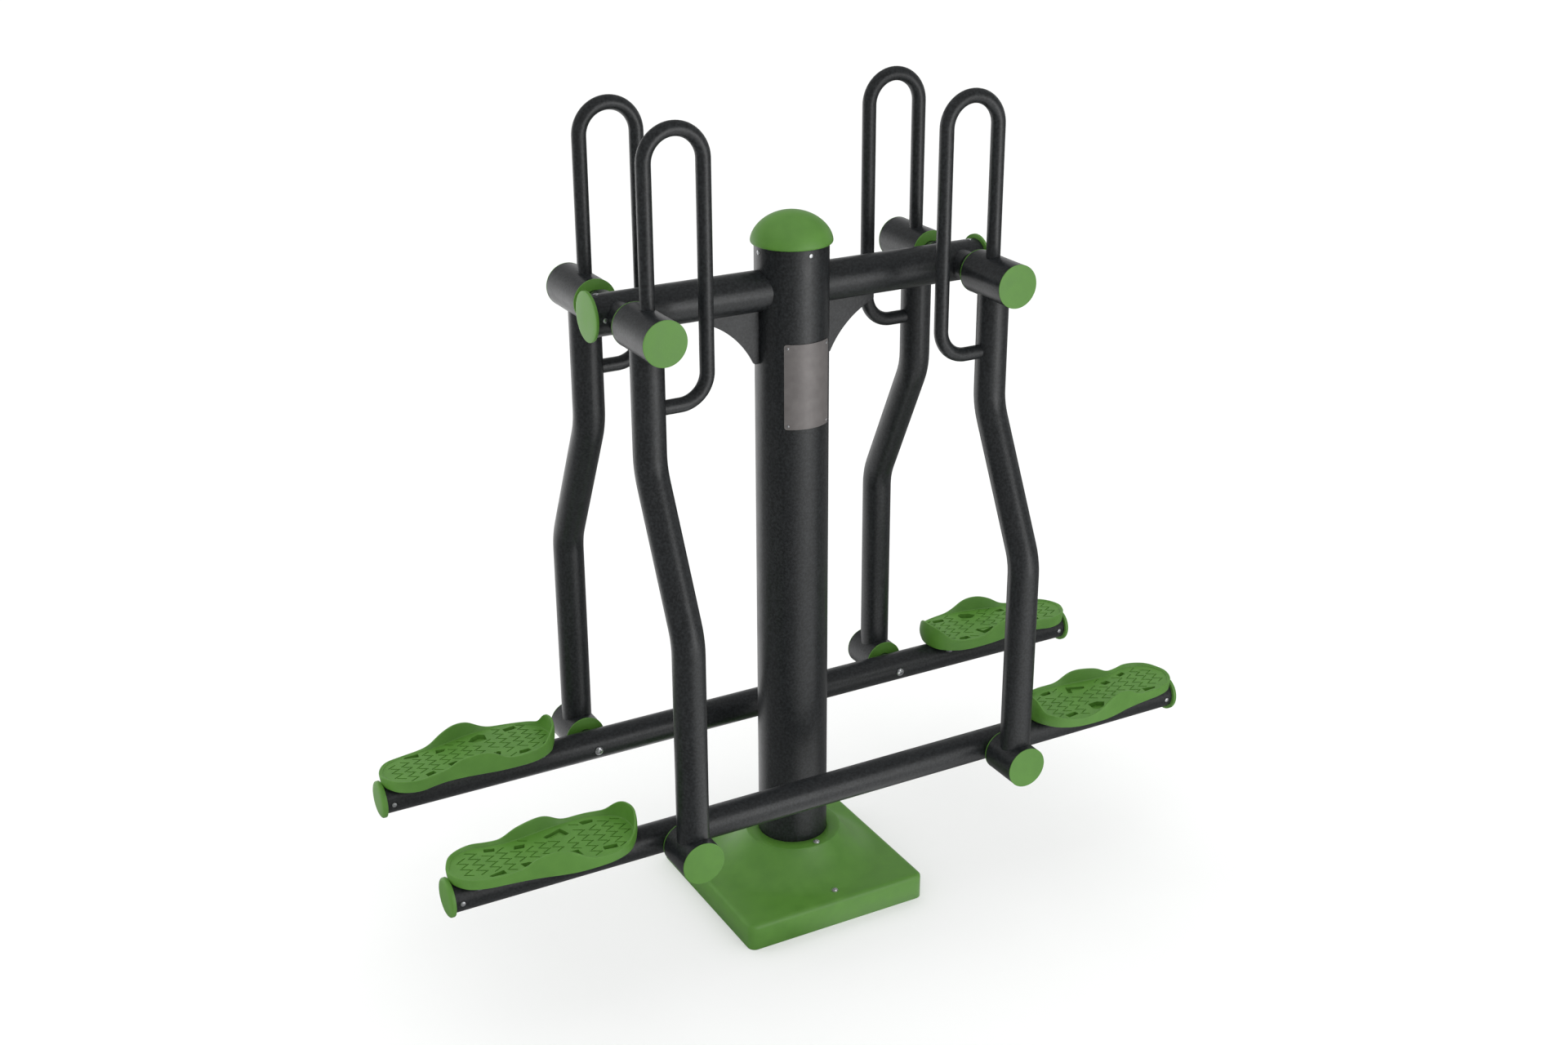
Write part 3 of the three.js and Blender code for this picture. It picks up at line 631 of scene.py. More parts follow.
def make_handle(side, end, label):
    x = side * (PIVOT_REACH - HANDLE_SETBACK)
    loop_radius = HANDLE_WIDTH / 2
    inward = Vector((-side, 0, 0))
    base = CROSSBAR_HEIGHT + HUB_RADIUS - 0.004
    rise = CROSSBAR_HEIGHT + HANDLE_RISE - loop_radius - base
    fall = HANDLE_RISE - loop_radius + HANDLE_DROP - HANDLE_BEND_RADIUS
    handle = bent_tube(
        f"handle_loop_{label}", HANDLE_RADIUS, (x, end * LEG_UPPER_OFFSET, base), (0, 0, 1),
        [
            rise, (180, loop_radius, inward), fall, (90, HANDLE_BEND_RADIUS, -inward),
            HANDLE_WIDTH + HANDLE_SETBACK - HANDLE_BEND_RADIUS - LEG_RADIUS + 0.004,
        ],
        40,
    )
    settled(handle, f"{label}_arm", charcoal, f"{label}_handle")


def make_hub_caps(side, end, label):
    x = side * PIVOT_REACH
    for level, (near, far), z, bearing, shaft in (
        ("upper", UPPER_HUB, CROSSBAR_HEIGHT, 0.034, SHAFT_RADIUS),
        ("lower", LOWER_HUB, BEAM_HEIGHT, 0.031, 0.015),
    ):
        seat = CAP_FLANGE - SEAT_GAP
        radius = HUB_CAP_RADIUS
        rim = arc((radius - 0.0006, seat - 0.0006), (0.0006, 0.0006), 0, 90, 3)
        crown = 0.0005
        face = [(radius * r, seat - crown * r * r) for r in (0.96, 0.85, 0.7, 0.5, 0.25, 0)]
        low_rim = arc((radius - 0.0004, seat - crown - 0.0004), (0.0004, 0.0004), 0, 70, 3)
        profile = [(0, -0.008), (bearing, -0.008), (bearing, 0), (radius, 0), *low_rim, *face]
        outer = turned(f"hub_cap_{label}_{level}_outer", profile)
        turned_to(outer, (0, end, 0), (x, end * (far - seat), z))
        settled(outer, f"{label}_arm", green, f"{label}_{level}_outer_cap")
        bore = shaft + 0.0004
        profile = [(bore, -0.008), (bearing, -0.008), (bearing, 0), (radius, 0), *rim]
        profile += [(bore + 0.001, seat), (bore, seat - 0.001), (bore, -0.008)]
        inner = turned(f"hub_cap_{label}_{level}_inner", profile)
        turned_to(inner, (0, -end, 0), (x, end * (near + seat), z))
        settled(inner, f"{label}_arm", green, f"{label}_{level}_inner_cap")


for side, end, label, _ in CORNERS:
    make_leg(side, end, label)
    make_handle(side, end, label)
    make_hub_caps(side, end, label)


# The beams

def make_beam(end, end_name):
    beam = bent_tube(
        f"beam_tube_{end_name}", BEAM_RADIUS,
        (-BEAM_HALF_LENGTH, end * BEAM_OFFSET, BEAM_HEIGHT), (1, 0, 0), [2 * BEAM_HALF_LENGTH], 64
    )
    settled(beam, f"{end_name}_beam", charcoal, f"{end_name}_beam")
    for side, side_name in SIDES:
        label = f"{end_name}_{side_name}"
        make_end_cap(
            f"beam_plug_{label}", 0.0365, 0.0055, 0.011, 0.0268, side,
            (side * (BEAM_HALF_LENGTH + SEAT_GAP), end * BEAM_OFFSET, BEAM_HEIGHT),
            f"{end_name}_beam", f"{label}_beam_cap",
        )


for end, end_name in ENDS:
    make_beam(end, end_name)


# The footboards. Along runs from the heel to the toe, across points away from the post.

BOARD_HEEL = 0.7988
BOARD_LENGTH = 0.351
BOARD_BOTTOM = BEAM_HEIGHT + BEAM_RADIUS + SEAT_GAP
BOARD_FLOOR = 0.3588
BOARD_WALL = 0.004
FLOOR_THICKNESS = 0.004
POCKET_DEPTH = 0.0095
BOARD_INNER_WIDTH, BOARD_OUTER_WIDTH = 0.062, 0.084
# The sole's outline from the heel round the outer side: (share of the length, of the width)
SOLE = (
    (0, 0), (0.024, 0.3), (0.075, 0.53), (0.16, 0.65), (0.25, 0.7), (0.34, 0.75), (0.43, 0.82),
    (0.52, 0.92), (0.61, 0.99), (0.71, 1), (0.8, 0.97), (0.88, 0.86), (0.94, 0.68),
    (0.985, 0.38), (1, 0.06), (0.985, -0.36), (0.945, -0.66), (0.88, -0.88), (0.81, -0.98),
    (0.73, -1), (0.62, -0.97), (0.52, -0.89), (0.42, -0.82), (0.33, -0.81), (0.25, -0.88),
    (0.18, -0.97), (0.11, -0.9), (0.05, -0.68), (0.015, -0.34),
)
# The rim's height above the bottom edge: (point of the sole, millimetres)
RIM = (
    (0, 21), (2, 20.5), (3, 19), (4, 20), (4.5, 21.3), (4.83, 23.6), (5.18, 28.5), (5.5, 36),
    (5.97, 43.5), (6.54, 48.5), (7.08, 48.6), (7.62, 45.2), (8, 39.2), (8.27, 32.5), (8.55, 26.5),
    (8.97, 20.8), (9.6, 18.7), (10.4, 19), (11.2, 21), (12, 24.5), (12.66, 28), (12.83, 38),
    (13.07, 47.5), (13.4, 52.4), (13.7, 53.8), (14, 54.2), (14.44, 54), (14.92, 52), (15.41, 48.2),
    (15.9, 41), (16.3, 32), (16.64, 27), (17.24, 25), (18.44, 24), (19.1, 23.5), (19.47, 24.8),
    (19.68, 29.2), (19.94, 36.8), (20.27, 42.6), (20.64, 45.3), (21.04, 45.3), (21.53, 43.6),
    (22.14, 39.5), (22.55, 32.8), (22.93, 26.6), (23.4, 24.8), (25, 24.8), (27, 24), (29, 21),
)
# How far the rim leans out over the bottom edge: (point of the sole, millimetres)
LEAN = (
    (0, 3), (1.5, 2.6), (3, 1.3), (12, 1.3), (13, 3.5), (14, 4), (15, 3.8), (16.5, 1.5), (26, 1.3),
    (27.5, 2.6), (29, 3),
)
# How far the wall swells out half way up
SWELL = (
    (0, 0.5), (4.5, 0.3), (6.5, 0.8), (8.5, 0.3), (12, 0.5), (12.7, 3.2), (13.6, 4.2), (14.6, 3.6),
    (15.8, 1.5), (17, 0.4), (20, 0.3), (21, 0.8), (22.5, 0.3), (29, 0.5),
)
# The pockets in the floor, in millimetres from the heel and from the beam's line
POCKETS = (
    ((81, -42), (99, -36.5), (96, -28), (79, -33)),
    ((134, -26), (152, -23.5), (147.5, -13), (130, -16)),
    ((60.5, 44), (88.5, 38), (90.5, 50), (64, 48)),
    ((123, 34), (139, 36), (144, 43), (126, 46)),
    ((191, -28.5), (228, -41.5), (237, -19), (230, -16), (223.5, -31), (195, -22)),
    ((195, 47), (208, 39), (230, 40), (232, 60), (222, 66), (207, 60)),
    ((268, -45), (280, -45.5), (293, -41.5), (290, -34.5), (271, -35)),
    ((274, 52.5), (299, 55), (297, 66), (272.5, 62.5)),
)
# The tread's zigzag columns: where each starts from the heel, and its shift across the board
COLUMNS = (
    (22, 0), (46, -5), (71, -4), (96, -1), (121, 7.5), (145, 0), (170, 1), (193, 8.5), (222, 9),
    (248, -6), (274, 7.7), (299, 7.5), (323, 11),
)
# The two strokes of one zigzag, each from and to (along, across), and the step to the next one
ZIGZAG = (((0, 0), (15.5, 8.7)), ((19, 9.7), (3.5, 18.4)))
ZIGZAG_STEP = 20.2
STROKE_HALF_WIDTH = 1.4
# The floor is left smooth behind the arrow-shaped pocket
SMOOTH_PATCH = ((183, -34), (226, -52), (244, -18), (229, -9), (188, -14))
# The two bars across the beam under each board, with two screws each. Places and widths are
# in millimetres from the heel and from the beam's line.
BAR_THICKNESS = 0.004
BAR_TOP = BEAM_HEIGHT + BEAM_RADIUS + BAR_THICKNESS
BAR_PLACES = (42, 317)
BAR_HALF_WIDTH, BAR_HALF_LENGTH = 11, 43
BOARD_SCREWS = [(along, across) for along in BAR_PLACES for across in (-35, 35)]
# Blocks that cut the floor reach up to here
CUT_TOP = BOARD_FLOOR + 0.003


def smoothed(points, count):
    """A closed line of this many points that runs smoothly through the given ones."""
    knots = [Vector((*p, 0)) for p in points]
    n = len(knots)
    line = []
    for i in range(count):
        t = i * n / count
        k, f = int(t), t - int(t)
        a, b, c, d = (knots[(k + j) % n] for j in (-1, 0, 1, 2))
        line.append(
            b + (c - a) * (f / 2) + (a * 2 - b * 5 + c * 4 - d) * (f * f / 2)
            + (b * 3 - a - c * 3 + d) * (f ** 3 / 2)
        )
    return line


def drawn_in(line, distances):
    """A closed line, each of its points drawn in by its own distance. It runs clockwise."""
    ring = []
    for i, point in enumerate(line):
        along = (line[(i + 1) % len(line)] - line[i - 1]).normalized()
        ring.append(point + Vector((along.y, -along.x, 0)) * distances[i])
    return ring


def read_off(table, count):
    """A table along the sole's points, in millimetres, as evenly shared smooth values."""
    values = []
    for i in range(count):
        t = i * len(SOLE) / count
        (t0, v0), (t1, v1) = next(p for p in zip(table, table[1:]) if p[0][0] <= t <= p[1][0])
        values.append((v0 + (v1 - v0) * (t - t0) / (t1 - t0)) / 1000)
    for _ in range(3):
        values = [(values[i - 1] + 2 * values[i] + values[(i + 1) % count]) / 4
                  for i in range(count)]
    return values


def on_board(corners, grown=0.0):
    """Corners given in millimetres from the heel and the beam's line, as places on the board,
    which has its heel at +X and its outer side at +Y. The outline may be grown, each of its
    sides moving outwards by this much, in metres."""
    spots = [Vector(corner) / 1000 for corner in corners]
    if grown:
        area = sum(a.cross(b) for a, b in zip(spots, [*spots[1:], spots[0]]))
        reach = math.copysign(grown, area)
        moved = []
        for i, spot in enumerate(spots):
            before = (spot - spots[i - 1]).normalized()
            after = (spots[(i + 1) % len(spots)] - spot).normalized()
            turn = before + after
            moved.append(spot + Vector((turn.y, -turn.x)) * (2 * reach / turn.length_squared))
        spots = moved
    return [(BOARD_HEEL - spot.x, spot.y) for spot in spots]


def sole_line(count):
    share = [
        (u * BOARD_LENGTH, v * (BOARD_OUTER_WIDTH if v > 0 else BOARD_INNER_WIDTH))
        for u, v in SOLE
    ]
    return smoothed(share, count)


def make_board_shell(name, count=200):
    """The board as a solid with its walls and its floor, heel at +X and outer side at +Y."""
    line = sole_line(count)
    tops = [BOARD_BOTTOM + h for h in read_off(RIM, count)]
    leans, swells = read_off(LEAN, count), read_off(SWELL, count)

    def ring(insets, levels):
        """The outline at these heights, drawn in, leaning out and swelling with the height."""
        rises = [(z - BOARD_BOTTOM) / (t - BOARD_BOTTOM) for z, t in zip(levels, tops)]
        drawn = drawn_in(line, [
            i - lean * r - swell * 4 * r * (1 - r)
            for i, lean, swell, r in zip(insets, leans, swells, rises)
        ])
        return [Vector((BOARD_HEEL - p.x, p.y, z)) for p, z in zip(drawn, levels)]

    foot_bend, rim_bend, inner_bend, draft = 0.0008, 0.0013, 0.0006, 0.003
    rings = [ring([foot_bend] * count, [BOARD_BOTTOM] * count)]
    rings.append(ring([0] * count, [BOARD_BOTTOM + foot_bend] * count))
    for share in (0.14, 0.28, 0.42, 0.56, 0.7, 0.82):
        rings.append(ring([0] * count, [BOARD_BOTTOM + share * (t - BOARD_BOTTOM) for t in tops]))
    for i in range(6):
        a = math.radians(18 * i)
        inset, rise = rim_bend * (1 - math.cos(a)), rim_bend * math.sin(a)
        rings.append(ring([inset] * count, [t - rim_bend + rise for t in tops]))
    for i in range(4):
        a = math.radians(30 * i)
        inset, fall = BOARD_WALL - inner_bend * (1 - math.sin(a)), inner_bend * (1 - math.cos(a))
        rings.append(ring([inset] * count, [t - fall for t in tops]))
    drops = [t - inner_bend - BOARD_FLOOR for t in tops]
    feet = [min(drop, 0.0018) for drop in drops]
    for i in range(1, 5):
        levels = [BOARD_FLOOR + drop + (foot - drop) * i / 4 for drop, foot in zip(drops, feet)]
        rings.append(ring([BOARD_WALL + draft * i / 4] * count, levels))
    for i in range(1, 8):
        a = math.radians(90 * i / 7)
        insets = [BOARD_WALL + draft + max(foot, 0.0015) * (1 - math.cos(a)) for foot in feet]
        rings.append(ring(insets, [BOARD_FLOOR + foot * (1 - math.sin(a)) for foot in feet]))
    return tidied(skin(name, rings)), rings[-1]


def cut_with(piece, cutter, overlapping=False):
    """Cuts a piece with a block, or with blocks that may overlap one another."""
    take(piece)
    boolean = piece.modifiers.new("cut", "BOOLEAN")
    boolean.operation, boolean.solver, boolean.object = "DIFFERENCE", "EXACT", cutter
    boolean.use_self = overlapping
    bpy.ops.object.modifier_apply(modifier="cut")
    bpy.data.objects.remove(cutter)
    return piece


def hexagon(radius, turn=0):
    """The corners of a hexagon round the origin, turned by an angle in degrees."""
    return arc((0, 0), (radius, radius), turn, turn + 300, 5)


def plank(name, along, across, low, high):
    """An upright block on a rectangle of the board."""
    (u0, u1), (v0, v1) = along, across
    return prism(name, on_board(((u0, v0), (u1, v0), (u1, v1), (u0, v1))), low, high)


def make_hollow():
    """What the mould leaves out under the floor, round the ribs, the screws' bosses and the
    pockets' own walls."""
    low, high = BOARD_BOTTOM - 0.002, BOARD_FLOOR - FLOOR_THICKNESS
    line = drawn_in(sole_line(120), [BOARD_WALL] * 120)
    hollow = prism("hollow", [(BOARD_HEEL - p.x, p.y) for p in line], low, high)
    under, over = low - 0.001, high + 0.001
    half_rib, boss_radius = 1.5, 8
    for ribs in (
        [plank("rib", (-5, 360), (v - half_rib, v + half_rib), under, over) for v in (-19, 19)],
        [plank("rib", (u - half_rib, u + half_rib), (-90, 90), under, over)
         for u in (20, 65, 110, 155, 200, 247, 294, 339)],
    ):
        cut_with(hollow, joined("ribs", *ribs))
    bosses = []
    for along, across in BOARD_SCREWS:
        outline = arc((along, across), (boss_radius, boss_radius), 0, 345, 23)
        bosses.append(prism("boss", on_board(outline), under, over))
    cut_with(hollow, joined("bosses", *bosses))
    walls = [prism("wall", on_board(pocket, 0.0032), BOARD_FLOOR - POCKET_DEPTH - 0.0025, over)
             for pocket in POCKETS]
    cut_with(hollow, joined("walls", *walls))
    return hollow


def inside(place, outline):
    """Whether a place lies inside a closed outline, both seen from above."""
    x, y = place
    crossings = 0
    for (x0, y0), (x1, y1) in zip(outline, [*outline[1:], outline[0]]):
        if (y0 > y) != (y1 > y) and x < x0 + (x1 - x0) * (y - y0) / (y1 - y0):
            crossings += 1
    return crossings % 2 == 1


def make_tread(floor):
    """The zigzag strokes across the floor, clear of the walls' feet and of the pockets."""
    keep_out = [on_board(pocket, 0.004) for pocket in POCKETS] + [on_board(SMOOTH_PATCH)]
    strokes = []
    for start, shift in COLUMNS:
        for row in range(-4, 6):
            corner = Vector((start, shift + ZIGZAG_STEP * row))
            for first, last in ZIGZAG:
                a, b = corner + Vector(first), corner + Vector(last)
                spots = on_board([a.lerp(b, share) for share in (-0.08, 0.25, 0.5, 0.75, 1.08)])
                if not all(inside(spot, floor) for spot in spots):
                    continue
                if any(inside(spot, hole) for spot in spots for hole in keep_out):
                    continue
                run = (b - a).normalized()
                out = Vector((-run.y, run.x)) * STROKE_HALF_WIDTH
                corners = [a - run, a + out, b + out, b + run, b - out, a - out]
                strokes.append(prism("stroke", on_board(corners), BOARD_FLOOR - 0.0015, CUT_TOP))
    return joined("tread", *strokes)


def make_footboard():
    board, foot = make_board_shell("footboard")
    floor = [(place.x, place.y) for place in foot]
    cut_with(board, make_hollow())
    reach = BAR_HALF_LENGTH + 0.6
    notches = [
        plank(
            "notch", (place - BAR_HALF_WIDTH - 1, place + BAR_HALF_WIDTH + 1), (-reach, reach),
            BOARD_BOTTOM - 0.002, BAR_TOP,
        )
        for place in BAR_PLACES
    ]
    cut_with(board, joined("notches", *notches))
    pockets = []
    for corners in POCKETS:
        outline = on_board(corners, 0.0007)
        pocket = prism("pocket", outline, BOARD_FLOOR - POCKET_DEPTH, CUT_TOP)
        pockets.append(bevelled(pocket, 0.0014, 3, upright))
    cut_with(board, joined("pockets", *pockets))
    island = on_board(((198, -21), (222.5, -28.5), (228, -16)))
    cut_with(board, prism("island", island, BOARD_FLOOR - 0.001, CUT_TOP))
    cut_with(board, make_tread(floor), overlapping=True)
    return tidied(board, 40)


def make_board_bar(along):
    """One of the two bars under a footboard, welded across the beam."""
    bar = plank(
        "board_bar", (along - BAR_HALF_WIDTH, along + BAR_HALF_WIDTH),
        (-BAR_HALF_LENGTH, BAR_HALF_LENGTH), BAR_TOP - BAR_THICKNESS, BAR_TOP,
    )
    bevelled(bar, 0.004, 4, upright)
    bevelled(bar, 0.0006, 2, lambda edge: not upright(edge))
    return tidied(bar, 30)


def make_board_screw(along, across):
    """A hexagon-headed screw with its washer, up through the bar into the board's boss."""
    low = BAR_TOP - BAR_THICKNESS
    profile = [(0, low - 0.0016), (0.0075, low - 0.0016), (0.0079, low - 0.0012), (0.0079, low)]
    profile += [(0.004, low), (0.004, BAR_TOP + 0.008), (0, BAR_TOP + 0.008)]
    screw = turned("board_screw", profile, 32)
    under = low - 0.0069
    head = prism("head", hexagon(0.0075), under, low - 0.0016)
    bevelled(head, 0.0007, 2, lambda edge: middle(edge).z < under + 0.00005)
    screw = joined("board_screw", tidied(head), screw)
    screw.data.transform(Matrix.Translation((BOARD_HEEL - along / 1000, across / 1000, 0)))
    return screw


board = make_footboard()
bars = [make_board_bar(along) for along in BAR_PLACES]
screws = [make_board_screw(*place) for place in BOARD_SCREWS]
for side, end, label, body in CORNERS:
    flip, move = (side, end, 1), (0, end * BEAM_OFFSET, 0)
    tray = copied(board, f"footboard_tray_{label}", flip, move)
    settled(tray, body, green, f"{label}_footboard")
    for place, bar in zip(("heel", "toe"), bars):
        settled(copied(bar, f"board_bar_{label}_{place}", flip, move), body, charcoal)
    for number, screw in enumerate(screws):
        settled(copied(screw, f"board_screw_{label}_{number}", flip, move), body, zinc)
for pattern in (board, *bars, *screws):
    bpy.data.objects.remove(pattern)


# The instruction plate

PLATE_HALF_WIDTH, PLATE_LOW, PLATE_HIGH = 0.0495, 1.0125, 1.1775
PLATE_THICKNESS = 0.0015


def wrapped(piece, radius):
    """Wraps a flat piece, drawn in X and Z with its thickness along -Y, round the post's front."""
    for vert in piece.data.vertices:
        angle, reach = vert.co.x / radius, radius - vert.co.y
        vert.co.x, vert.co.y = reach * math.sin(angle), -reach * math.cos(angle)
    return piece


def make_instruction_plate():
    rest()
    bpy.ops.mesh.primitive_plane_add(size=1, rotation=(math.pi / 2, 0, 0))
    plate = begun("instruction_plate_sheet")
    middle_height = (PLATE_LOW + PLATE_HIGH) / 2
    scale = Matrix.Diagonal((2 * PLATE_HALF_WIDTH, 1, PLATE_HIGH - PLATE_LOW, 1))
    plate.data.transform(Matrix.Translation((0, 0, middle_height)) @ scale)
    enter(plate)
    pick(plate, "VERT", lambda vert: True)
    bpy.ops.mesh.bevel(offset=0.005, segments=5, affect="VERTICES")
    for i in range(1, 40):
        x = PLATE_HALF_WIDTH * (i / 20 - 1)
        bpy.ops.mesh.select_all(action="SELECT")
        bpy.ops.mesh.bisect(plane_co=(x, 0, 0), plane_no=(1, 0, 0))
    bpy.ops.mesh.select_all(action="SELECT")
    bpy.ops.mesh.extrude_region_move(TRANSFORM_OT_translate={"value": (0, -PLATE_THICKNESS, 0)})
    rest()
    wrapped(plate, POST_RADIUS + SEAT_GAP)
    settled(tidied(plate), "frame", plate_print, "instruction_plate")
    inset = 0.007
    for x in (-PLATE_HALF_WIDTH + inset, PLATE_HALF_WIDTH - inset):
        for z in (PLATE_LOW + inset, PLATE_HIGH - inset):
            angle = x / POST_RADIUS
            out = Vector((math.sin(angle), -math.cos(angle), 0))
            spot = out * (POST_RADIUS + SEAT_GAP + PLATE_THICKNESS) + Vector((0, 0, z))
            make_rivet("plate_rivet", 0.0025, 0.001, spot, out, "frame")


# Rivets, screws and bolts

def make_rivet(name, radius, height, place, out, body):
    """A low domed rivet head with its shank's dimple."""
    head = arc((0, height * 0.3), (radius, height * 0.7), 0, 64.286, 5)
    dimple = [(radius * 0.3, height * 0.99), (radius * 0.26, height * 0.8), (0, height * 0.76)]
    rivet = turned(name, [(0, -0.0012), (radius, -0.0012), *head, *dimple], 24)
    settled(turned_to(rivet, out, place), body, rivet_metal)


def make_cover_screw(name, place):
    """A button-headed screw with a hexagon socket, on a thin washer."""
    radius, height = 0.0055, 0.003
    head = arc((0, 0.0012), (radius, height), 0, 78, 8)
    washer = [(radius * 1.25, 0), (radius * 1.28, 0.0003), (radius * 1.25, 0.0009)]
    profile = [(0, -0.002), (radius * 1.2, -0.002), *washer, (radius * 1.02, 0.0012), *head]
    screw = turned(name, [*profile, (0, head[-1][1])], 32)
    socket = prism("socket", hexagon(radius * 0.42), 0.0012 + height * 0.35, height + 0.004)
    cut_with(screw, socket)
    settled(turned_to(tidied(screw), (0, 0, 1), place), "frame", screw_metal)


def make_pivot_pin(side, end, label, body):
    """The beam's pivot pin: a button head on the post's side and a thick journal."""
    inner, outer = -BEAM_RADIUS - SEAT_GAP, BEAM_RADIUS + SEAT_GAP
    tip = LOWER_HUB[1] - CAP_FLANGE - 0.004 - BEAM_OFFSET
    head = arc((0, inner - 0.0006), (0.009, -0.0044), 80, 0, 8)
    profile = [(0, head[0][1]), *head, (0.0085, inner), (0.006, inner), (0.006, outer)]
    profile += [(0.0145, outer), (0.015, outer + 0.0005), (0.015, tip - 0.001)]
    profile += [(0.014, tip), (0, tip)]
    pin = turned(f"pivot_pin_bolt_{label}", profile, 48)
    cut_with(pin, prism("socket", hexagon(0.004, 30), inner - 0.01, inner - 0.002))
    turned_to(tidied(pin), (0, end, 0), (side * PIVOT_REACH, end * BEAM_OFFSET, BEAM_HEIGHT))
    settled(pin, body, bright_steel, f"{label}_pivot_pin")


make_instruction_plate()
for quarter in range(4):
    a = math.radians(90 * quarter + 1)
    out = Vector((math.cos(a), math.sin(a), 0))
    spot = out * POST_RADIUS + Vector((0, 0, POST_RIVET_HEIGHT))
    make_rivet(f"post_rivet_{quarter}", 0.0043, 0.0016, spot, out, "frame")
    for side, side_name in SIDES:
        a = math.radians(90 * quarter)
        out = Vector((0, math.cos(a), math.sin(a)))
        spot = out * CROSSBAR_RADIUS + Vector((side * CROSSBAR_RIVET_REACH, 0, CROSSBAR_HEIGHT))
        name = f"crossbar_rivet_{side_name}_{quarter}"
        make_rivet(name, 0.0045, 0.0016, spot, out, "frame")
make_cover_screw("cover_screw_collar_front", (0.0084, -0.0852, 0.119))
make_cover_screw("cover_screw_collar_rear", (-0.0084, 0.0852, 0.119))
make_cover_screw("cover_screw_edge_front", (0.0015, -0.1722, 0.0557))
make_cover_screw("cover_screw_edge_rear", (-0.0015, 0.1560, 0.0604))
for side, end, label, body in CORNERS:
    make_pivot_pin(side, end, label, body)
    for way, face in ENDS:
        y = end * BEAM_OFFSET + way * (BEAM_RADIUS - 0.0001)
        spot = (side * BEAM_RIVET_REACH, y, BEAM_HEIGHT - 0.002)
        make_rivet(f"beam_rivet_{label}_{face}", 0.0047, 0.0017, spot, (0, way, 0), body)


# What stays from the CAD

for name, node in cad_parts.items():
    if name == "anchor_plate" or name.endswith("bearings"):
        node.data.materials.clear()
        node.data.materials.append(zinc if name == "anchor_plate" else bright_steel)

# Camera, floor and light

# The camera as it was solved from the photo: angles in degrees, place in metres, lens in
# millimetres for a sensor of 36.
CAMERA_ANGLES = (-28.640, 22.735, -0.196)
CAMERA_PLACE = (-1.6634, -3.0131, 2.2385)
CAMERA_LENS = 44.187
azimuth, elevation, roll = map(math.radians, CAMERA_ANGLES)
camera_data = bpy.data.cameras.new("camera")
camera_data.lens, camera_data.sensor_width = CAMERA_LENS, 36
camera = bpy.data.objects.new("camera", camera_data)
bpy.context.scene.collection.objects.link(camera)
camera.matrix_world = (
    Matrix.Translation(CAMERA_PLACE) @ Matrix.Rotation(azimuth, 4, "Z")
    @ Matrix.Rotation(math.pi / 2 - elevation, 4, "X") @ Matrix.Rotation(roll, 4, "Z")
)
bpy.context.scene.camera = camera

rest()
bpy.ops.mesh.primitive_plane_add(size=60, location=(0, 0, 0))
floor = bpy.context.active_object
floor.name = "floor"
material, tree, shader, place = new_material("pale_studio_floor", Roughness=0.9, IOR=1.3)
path = add_node(tree, "ShaderNodeLightPath")
camera_ray, glossy_ray = path.outputs["Is Camera Ray"], path.outputs["Is Glossy Ray"]
shade = add_node(
    tree, "ShaderNodeMix", {"A": colour("#f4f5f4"), "B": colour("#cdcecd")},
    {"Factor": camera_ray}, data_type="RGBA",
)
# Glossy surfaces see the floor's colour as black: a painted dark reflection.
unlit = add_node(
    tree, "ShaderNodeMix", {"B": colour("#000000")},
    {"Factor": glossy_ray, "A": shade.outputs["Result"]}, data_type="RGBA",
)
tree.links.new(unlit.outputs["Result"], shader.inputs["Base Color"])
shader.inputs["Emission Color"].default_value = (1, 1, 1, 1)
# In reflections the floor is painted dark but for a painted glowing strip, from the front right to
# the rear left, that stands in for bright light to reflect.
way = add_node(tree, "ShaderNodeVectorMath", None, {0: place}, operation="NORMALIZE")
along = add_node(
    tree, "ShaderNodeVectorMath", {1: (0.34, -0.94, 0)}, {0: way.outputs["Vector"]},
    operation="DOT_PRODUCT",
)
either = add_node(
    tree, "ShaderNodeMath", None, {0: along.outputs["Value"]}, operation="ABSOLUTE"
)
mirrored = add_node(
    tree, "ShaderNodeMapRange",
    {"From Min": 0.7, "From Max": 0.95, "To Min": 0.25, "To Max": 1.25},
    {"Value": either.outputs["Value"]},
)
painted_reflection_glow = add_node(
    tree, "ShaderNodeMix", {"A": 0.0}, {"Factor": glossy_ray, "B": mirrored.outputs["Result"]},
    data_type="FLOAT",
)
glow = add_node(
    tree, "ShaderNodeMix", {"B": 0.29}, {"Factor": camera_ray, "A": painted_reflection_glow.outputs["Result"]},
    data_type="FLOAT",
)
tree.links.new(glow.outputs["Result"], shader.inputs["Emission Strength"])
floor.data.materials.append(material)


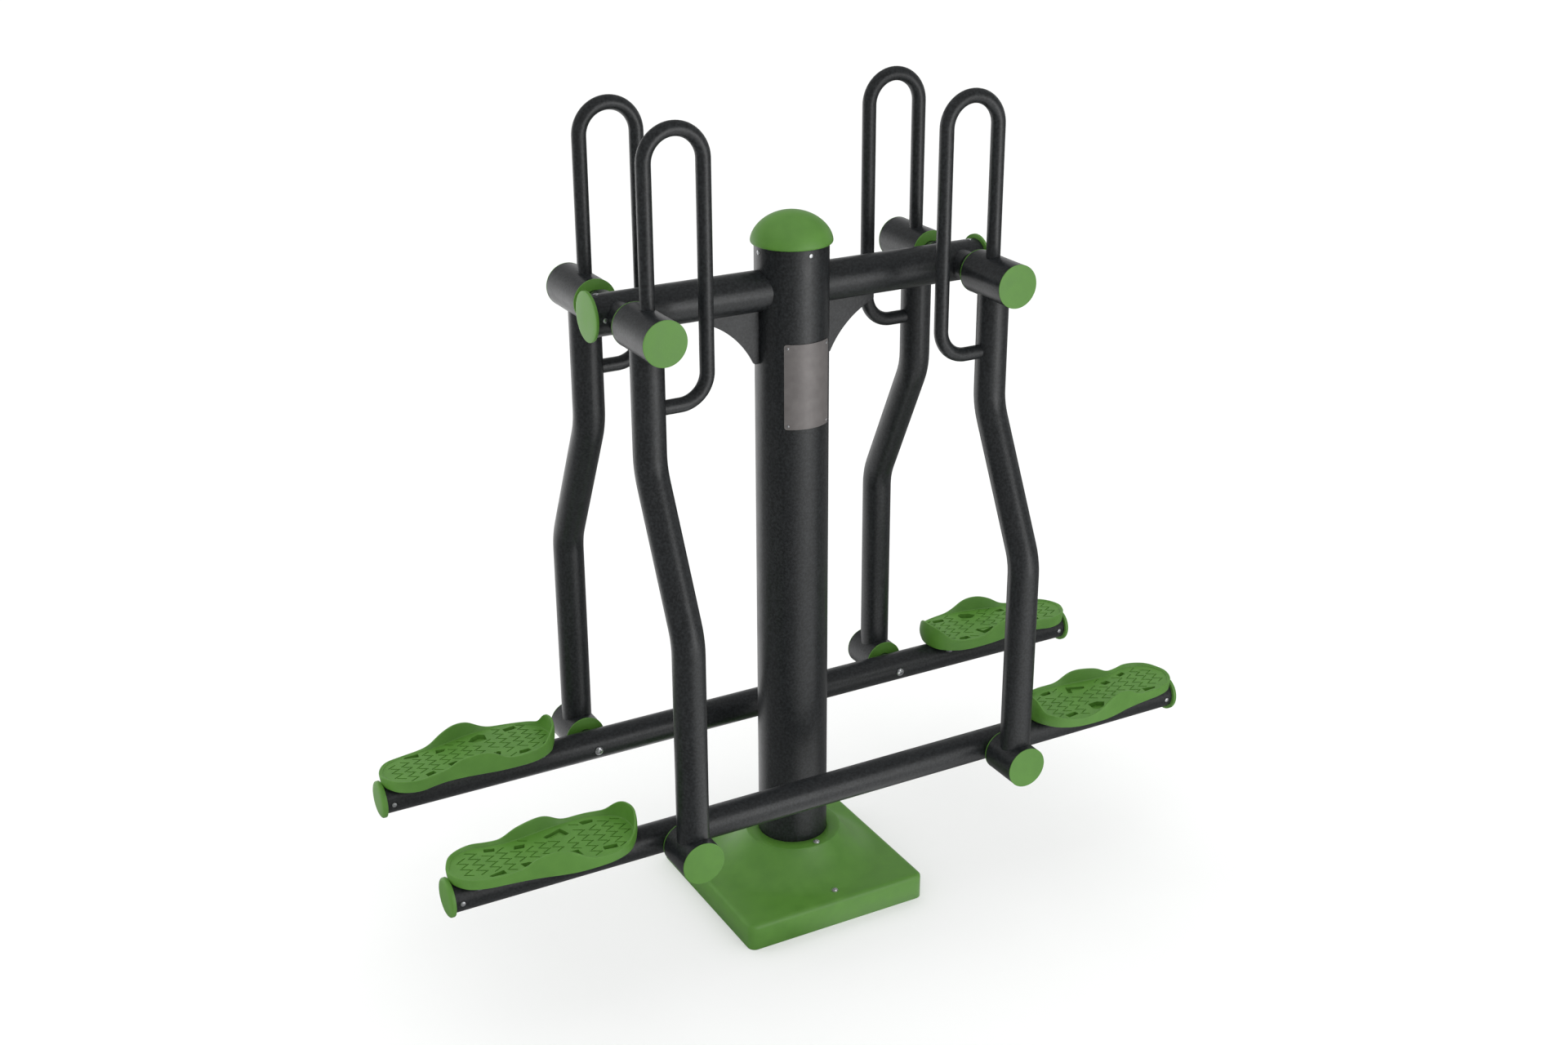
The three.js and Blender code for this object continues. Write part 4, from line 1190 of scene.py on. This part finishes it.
def softbox(name, power, width, height, azimuth, distance, level, mirrored=False):
    """A soft rectangular lamp that stands this way from the post, in degrees, and faces it. A
    mirrored one only shows in glossy surfaces, any other only lights the colours."""
    data = bpy.data.lights.new(name, "AREA")
    data.shape, data.size, data.size_y, data.energy = "RECTANGLE", width, height, power
    data.spread = math.radians(180 if mirrored else 90)
    lamp = bpy.data.objects.new(name, data)
    a = math.radians(azimuth)
    lamp.location = (distance * math.cos(a), distance * math.sin(a), level)
    toward = lamp.location - Vector((0, 0, 0.8))
    lamp.rotation_euler = toward.to_track_quat("Z", "Y").to_euler()
    lamp.visible_camera = False
    lamp.visible_diffuse, lamp.visible_glossy = not mirrored, mirrored
    bpy.context.scene.collection.objects.link(lamp)


softbox("right_light", 4.6, 1.9, 2.3, -66, 3.2, 0.9)
softbox("right_reflection", 27, 1.5, 2.3, -70, 3.2, 1.15, True)
softbox("left_light", 5.5, 2.2, 2.1, 140, 3.2, 0.95)
softbox("left_reflection", 6, 1.6, 2.1, 112, 3.2, 1.0, True)
world = bpy.data.worlds.new("studio")
bpy.context.scene.world = world
world.use_nodes = True
sky = world.node_tree
backdrop = sky.nodes["Background"]
backdrop.inputs["Color"].default_value = (1, 1, 1, 1)
toward = add_node(sky, "ShaderNodeTexCoord").outputs["Generated"]


def brightness(lightest, start, end, dim, bright):
    """Goes from dim to bright as the view turns towards the lightest direction."""
    facing = add_node(
        sky, "ShaderNodeVectorMath", {1: lightest}, {0: toward}, operation="DOT_PRODUCT"
    )
    values = {"From Min": start, "From Max": end, "To Min": dim, "To Max": bright}
    return add_node(sky, "ShaderNodeMapRange", values, {"Value": facing.outputs["Value"]})


# Colours are lit from above. Polished and glossy surfaces see a white wall behind the object,
# and a dark ceiling and camera side.
above = brightness((0, 0, 1), 0, 1, 0.62, 1.58)
wall = brightness((0.42, 0.78, -1.6), -0.1, 0.8, 0.28, 1.05)
path = add_node(sky, "ShaderNodeLightPath")
lit = add_node(sky, "ShaderNodeMix", None, {
    "Factor": path.outputs["Is Glossy Ray"], "A": above.outputs["Result"],
    "B": wall.outputs["Result"],
}, data_type="FLOAT")
level = add_node(sky, "ShaderNodeMix", {"B": 1.0}, {
    "Factor": path.outputs["Is Camera Ray"], "A": lit.outputs["Result"],
}, data_type="FLOAT")
sky.links.new(level.outputs["Result"], backdrop.inputs["Strength"])
bpy.context.scene.view_settings.view_transform = "Standard"
